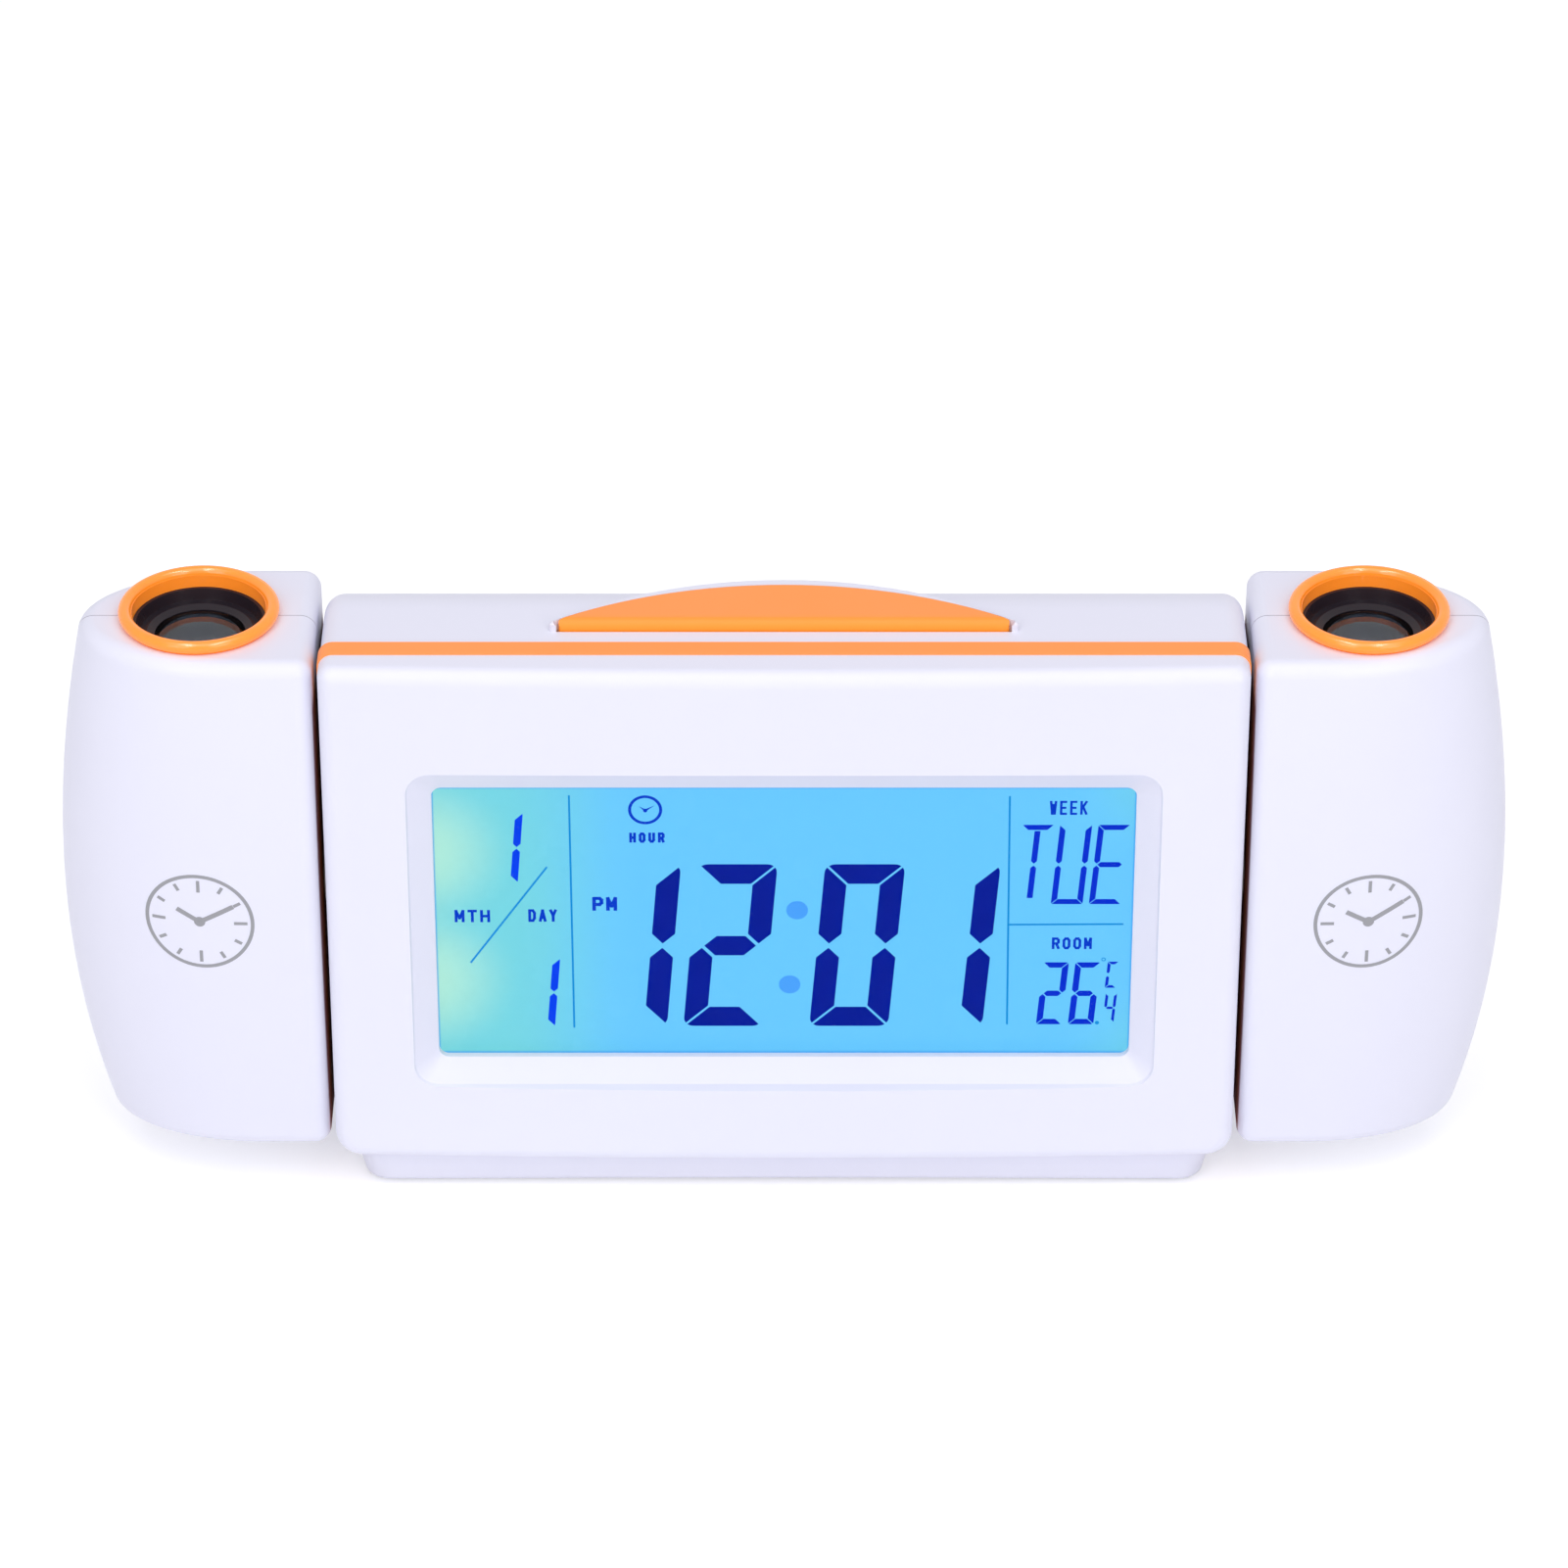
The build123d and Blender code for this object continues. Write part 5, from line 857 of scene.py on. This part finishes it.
# strokes of the plain capitals on the display, in a box one unit wide and one high
letterStrokes = {
    "A": [[(0, 0), (0.5, 1), (1, 0)], [(0.2, 0.3), (0.8, 0.3)]],
    "D": [[(0, 0), (0, 1), (0.65, 1), (1, 0.75), (1, 0.25), (0.65, 0), (0, 0)]],
    "E": [[(0, 0), (0, 1), (1, 1)], [(0, 0.5), (0.85, 0.5)], [(0, 0), (1, 0)]],
    "H": [[(0, 0), (0, 1)], [(1, 0), (1, 1)], [(0, 0.5), (1, 0.5)]],
    "K": [[(0, 0), (0, 1)], [(0.05, 0.42), (1, 1)], [(0.3, 0.6), (1, 0)]],
    "M": [[(0, 0), (0, 1), (0.5, 0.3), (1, 1), (1, 0)]],
    "O": [[(0, 0.2), (0, 0.8), (0.3, 1), (0.7, 1), (1, 0.8), (1, 0.2), (0.7, 0), (0.3, 0), (0, 0.2)]],
    "P": [[(0, 0), (0, 1), (0.75, 1), (1, 0.85), (1, 0.6), (0.75, 0.45), (0, 0.45)]],
    "R": [[(0, 0), (0, 1), (0.75, 1), (1, 0.85), (1, 0.62), (0.75, 0.48), (0, 0.48)], [(0.6, 0.48), (1, 0)]],
    "T": [[(0, 1), (1, 1)], [(0.5, 0), (0.5, 1)]],
    "U": [[(0, 1), (0, 0.2), (0.3, 0), (0.7, 0), (1, 0.2), (1, 1)]],
    "W": [[(0, 1), (0.25, 0), (0.5, 0.75), (0.75, 0), (1, 1)]],
    "Y": [[(0, 1), (0.5, 0.5), (1, 1)], [(0.5, 0.5), (0.5, 0)]],
}
lettering = dict(gap=0.42, overlap=0.8)  # overlap in half strokes, past each end


def strokeWord(word, left, bottom, right, top, stroke):
    # condensed capitals that fill the box given
    pitch = (right - left + lettering["gap"]) / len(word)
    half = stroke / 2
    width = pitch - lettering["gap"] - 2 * half
    height = top - bottom - 2 * half
    plates = []
    for index, letter in enumerate(word):
        corner = Vector((left + half + index * pitch, bottom + half))
        for run in letterStrokes[letter]:
            points = [corner + Vector((x * width, z * height)) for x, z in run]
            for start, end in zip(points, points[1:]):
                past = (end - start).normalized() * half * lettering["overlap"]
                plates.append(ruledLine(start - past, end + past, stroke, **displayPlane))
    return plates


# left, bottom, right, top and stroke of each word
labelBoxes = {
    "HOUR": (-22.95, 61.85, -17.70, 63.65, 0.42),
    "PM": (-28.60, 49.75, -24.90, 52.25, 0.54),
    "MTH": (-49.2, 47.70, -43.9, 49.95, 0.44),
    "DAY": (-38.2, 47.80, -33.9, 50.05, 0.44),
    "WEEK": (39.3, 66.75, 44.9, 69.2, 0.37),
    "ROOM": (40.1, 42.90, 46.1, 45.0, 0.40),
}
labelPlates = [plate for word, place in labelBoxes.items() for plate in strokeWord(word, *place)]
dress(joinPieces(labelPlates, "display_labels"), inkMaterials["label"], "clock_body")
print("display dressed")


# plain printed marks on the pods and the keys
printInks = {
    "greyPrint": dict(
        color=(0.34, 0.34, 0.36), second=(0.29, 0.29, 0.31), edge=(0.4, 0.4, 0.42), roughness=0.4, wear=0.2,
    ),
    "darkPrint": dict(
        color=(0.10, 0.10, 0.12), second=(0.07, 0.07, 0.085), edge=(0.2, 0.2, 0.22), roughness=0.5, wear=0.3,
    ),
}
printMaterials = {name: moulded(name, ink) for name, ink in printInks.items()}
dialMark = dict(
    x=86.9, z=50.3, radius=8.2, ring=0.55, ringSides=72, tickInset=1.9, tick=1.2, longTick=2.0, tickWidth=0.5,
    handWidth=0.75, hourHand=3.9, hourTurn=-60, minuteHand=5.9, minuteTurn=60, hub=0.85, hubSides=24,
    cuts=3, lift=0.02, thickness=0.03,
)
podPlane = dict(front=-20.0, thickness=0, drop=0)  # where a mark is drawn before it is laid on the pod


def outOfDial(centre, angle, near, far, width):
    # a bar from one radius to another, turned clockwise from the top
    turn = math.radians(angle)
    out = Vector((math.sin(turn), math.cos(turn)))
    return ruledLine(centre + out * near, centre + out * far, width, **podPlane)


def podMark(side):
    # a plain dial: ring, twelve ticks and two hands, laid on the curved front of the pod
    mark = dialMark
    centre = Vector(({"left": -1, "right": 1}[side] * mark["x"], mark["z"]))
    plates = [
        flatDisc(centre, mark["radius"], mark["radius"] - mark["ring"], mark["ringSides"], **podPlane),
        flatDisc(centre, mark["hub"], 0, mark["hubSides"], **podPlane),
    ]
    far = mark["radius"] - mark["tickInset"] * mark["ring"]
    for hour in range(12):
        length = mark["longTick"] if hour % 3 == 0 else mark["tick"]
        plates.append(outOfDial(centre, 30 * hour, far - length, far, mark["tickWidth"]))
    plates.append(outOfDial(centre, mark["hourTurn"], 0, mark["hourHand"], mark["handWidth"]))
    plates.append(outOfDial(centre, mark["minuteTurn"], 0, mark["minuteHand"], mark["handWidth"]))
    piece = joinPieces(plates, side + "_pod_mark")
    pickOnly(piece)
    editAll()
    bpy.ops.mesh.subdivide(number_cuts=mark["cuts"])
    endEdit()
    wrap = piece.modifiers.new("wrap", "SHRINKWRAP")
    wrap.target = nodes[side + "_pod_front_shell"]
    wrap.wrap_method = "PROJECT"
    wrap.use_project_y = True
    wrap.use_positive_direction = True
    wrap.use_negative_direction = True
    wrap.offset = mark["lift"] * mm
    thick = piece.modifiers.new("thick", "SOLIDIFY")
    thick.thickness = mark["thickness"] * mm
    thick.offset = 0
    applyModifiers(piece)
    dress(piece, printMaterials["greyPrint"], side + "_pod")


for side in ("left", "right"):
    podMark(side)

keyMark = dict(size=1.15, bore=0.75, sides=32, arrowWidth=1.2, sink=0.01, thickness=0.04)


def keySign(keyName):
    # a ring, a square or an arrowhead in the middle of a key's rear face
    low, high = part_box(keyName)
    x = (low.x + high.x) / 2 / mm
    z = (low.z + high.z) / 2 / mm
    plane = dict(front=high.y / mm - keyMark["sink"], thickness=keyMark["thickness"], drop=0)
    size = keyMark["size"]
    if keyName == "mode_key":
        sign = flatDisc((x, z), size, keyMark["bore"], keyMark["sides"], **plane)
    elif keyName == "set_key":
        corners = [(x + right * size, z + up * size) for right, up in ((-1, -1), (1, -1), (1, 1), (-1, 1))]
        sign = flatPlate(corners, **plane)
    else:
        rise = size if keyName == "up_key" else -size
        wide = keyMark["arrowWidth"] * size
        sign = flatPlate([(x - wide, z - rise), (x + wide, z - rise), (x, z + rise)], **plane)
    sign.name = sign.data.name = keyName + "_mark"
    dress(sign, printMaterials["darkPrint"], keyName)


for keyName in ("mode_key", "set_key", "up_key", "down_key"):
    keySign(keyName)
print("marks printed")


# camera, floor and light
view = dict(place=(0.0, -0.86764, 0.61083), tilt=57.8, lens=157.4, sensor=36.0, clipStart=0.01)
cameraData = bpy.data.cameras.new("camera")
cameraData.lens = view["lens"]
cameraData.sensor_width = view["sensor"]
cameraData.clip_start = view["clipStart"]
camera = bpy.data.objects.new("camera", cameraData)
camera.location = view["place"]
camera.rotation_euler = (math.radians(view["tilt"]), 0, 0)
bpy.context.scene.collection.objects.link(camera)
bpy.context.scene.camera = camera

studio = dict(worldLight=0.49, worldColor=(0.91, 0.91, 1.0), floorColor=(0.93, 0.93, 0.94), floorGlow=0.34,
              floorSize=12.0, floorRoughness=0.9, floorSpecular=0.1, speck=(40.0, 3.0, 0.5), speckShade=0.99)


def backdropRays(tree, place):
    # 1 for the rays that show the backdrop: the camera's, and those reflected or let through
    path = addNode(tree, "ShaderNodeLightPath", (place[0] - 300, place[1]))
    seen = mathNode(tree, "MAXIMUM", path.outputs["Is Camera Ray"], path.outputs["Is Glossy Ray"], place)
    return mathNode(tree, "MAXIMUM", seen, path.outputs["Is Transmission Ray"], (place[0] + 200, place[1]))


def paleFloor():
    dropSelection()
    bpy.ops.mesh.primitive_grid_add(
        x_subdivisions=2, y_subdivisions=2, size=studio["floorSize"], location=(0, 0, 0),
    )
    floor = bpy.context.object
    floor.name = "floor"
    material, tree, shader, vector = startMaterial("paleFloor")
    speck = noiseNode(tree, vector, *studio["speck"], (-700, 0))
    low = [value * studio["speckShade"] for value in studio["floorColor"]]
    color = mixColor(tree, speck, rgb(*studio["floorColor"]), rgb(*low), (-400, 100))
    tree.links.new(color, shader.inputs["Base Color"])
    shader.inputs["Roughness"].default_value = studio["floorRoughness"]
    shader.inputs["Specular IOR Level"].default_value = studio["floorSpecular"]
    # a little brighter to those rays, so that it reads as white
    glow = mathNode(tree, "MULTIPLY", backdropRays(tree, (-600, -400)), studio["floorGlow"], (-200, -400))
    shader.inputs["Emission Color"].default_value = rgb(1, 1, 1)
    tree.links.new(glow, shader.inputs["Emission Strength"])
    floor.data.materials.append(material)


def softWorld():
    # a dim, slightly blue light on the clock, and white where it is seen
    world = bpy.data.worlds.new("studio")
    bpy.context.scene.world = world
    world.use_nodes = True
    tree = world.node_tree
    background = tree.nodes["Background"]
    seen = backdropRays(tree, (-700, 0))
    level = addNode(tree, "ShaderNodeMapRange", (-300, 0))
    tree.links.new(seen, level.inputs["Value"])
    level.inputs["To Min"].default_value = studio["worldLight"]
    level.inputs["To Max"].default_value = 1.0
    color = mixColor(tree, seen, rgb(*studio["worldColor"]), rgb(1, 1, 1), (-300, 200))
    tree.links.new(color, background.inputs["Color"])
    tree.links.new(level.outputs["Result"], background.inputs["Strength"])


paleFloor()
softWorld()

# the only pieces that the two long strip lamps reach
shinyParts = bpy.data.collections.new("shinyParts")
for side in ("left", "right"):
    for part in ("_projector_lens", "_focus_ring", "_lens_barrel"):
        shinyParts.objects.link(nodes[side + part])

softBoxes = {
    "overhead": dict(place=(0.0, -0.35, 1.1), aim=(0, 0, 0.05), size=(1.3, 0.9), power=5.4),
    "frontLeft": dict(place=(-0.6, -1.05, 0.65), aim=(0, 0, 0.05), size=(0.6, 0.8), power=3.45),
    "frontRight": dict(place=(0.6, -1.05, 0.65), aim=(0, 0, 0.05), size=(0.6, 0.8), power=3.45),
    # long strips overhead, seen only as highlights
    "stripLeft": dict(place=(-0.26, -0.35, 1.1), aim=(-0.26, -0.1, 0.09), size=(0.12, 0.9), power=4.0),
    "stripRight": dict(place=(0.26, -0.35, 1.1), aim=(0.26, -0.1, 0.09), size=(0.12, 0.9), power=4.0),
}
for boxName, box in softBoxes.items():
    lampData = bpy.data.lights.new(boxName, "AREA")
    lampData.shape = "RECTANGLE"
    lampData.size, lampData.size_y = box["size"]
    lampData.energy = box["power"]
    lamp = bpy.data.objects.new(boxName, lampData)
    lamp.location = box["place"]
    lamp.rotation_euler = (Vector(box["aim"]) - Vector(box["place"])).to_track_quat("-Z", "Y").to_euler()
    if boxName.startswith("strip"):
        lamp.visible_diffuse = False
        lamp.light_linking.receiver_collection = shinyParts
    bpy.context.scene.collection.objects.link(lamp)
bpy.context.scene.view_settings.view_transform = "Standard"
print("studio ready")
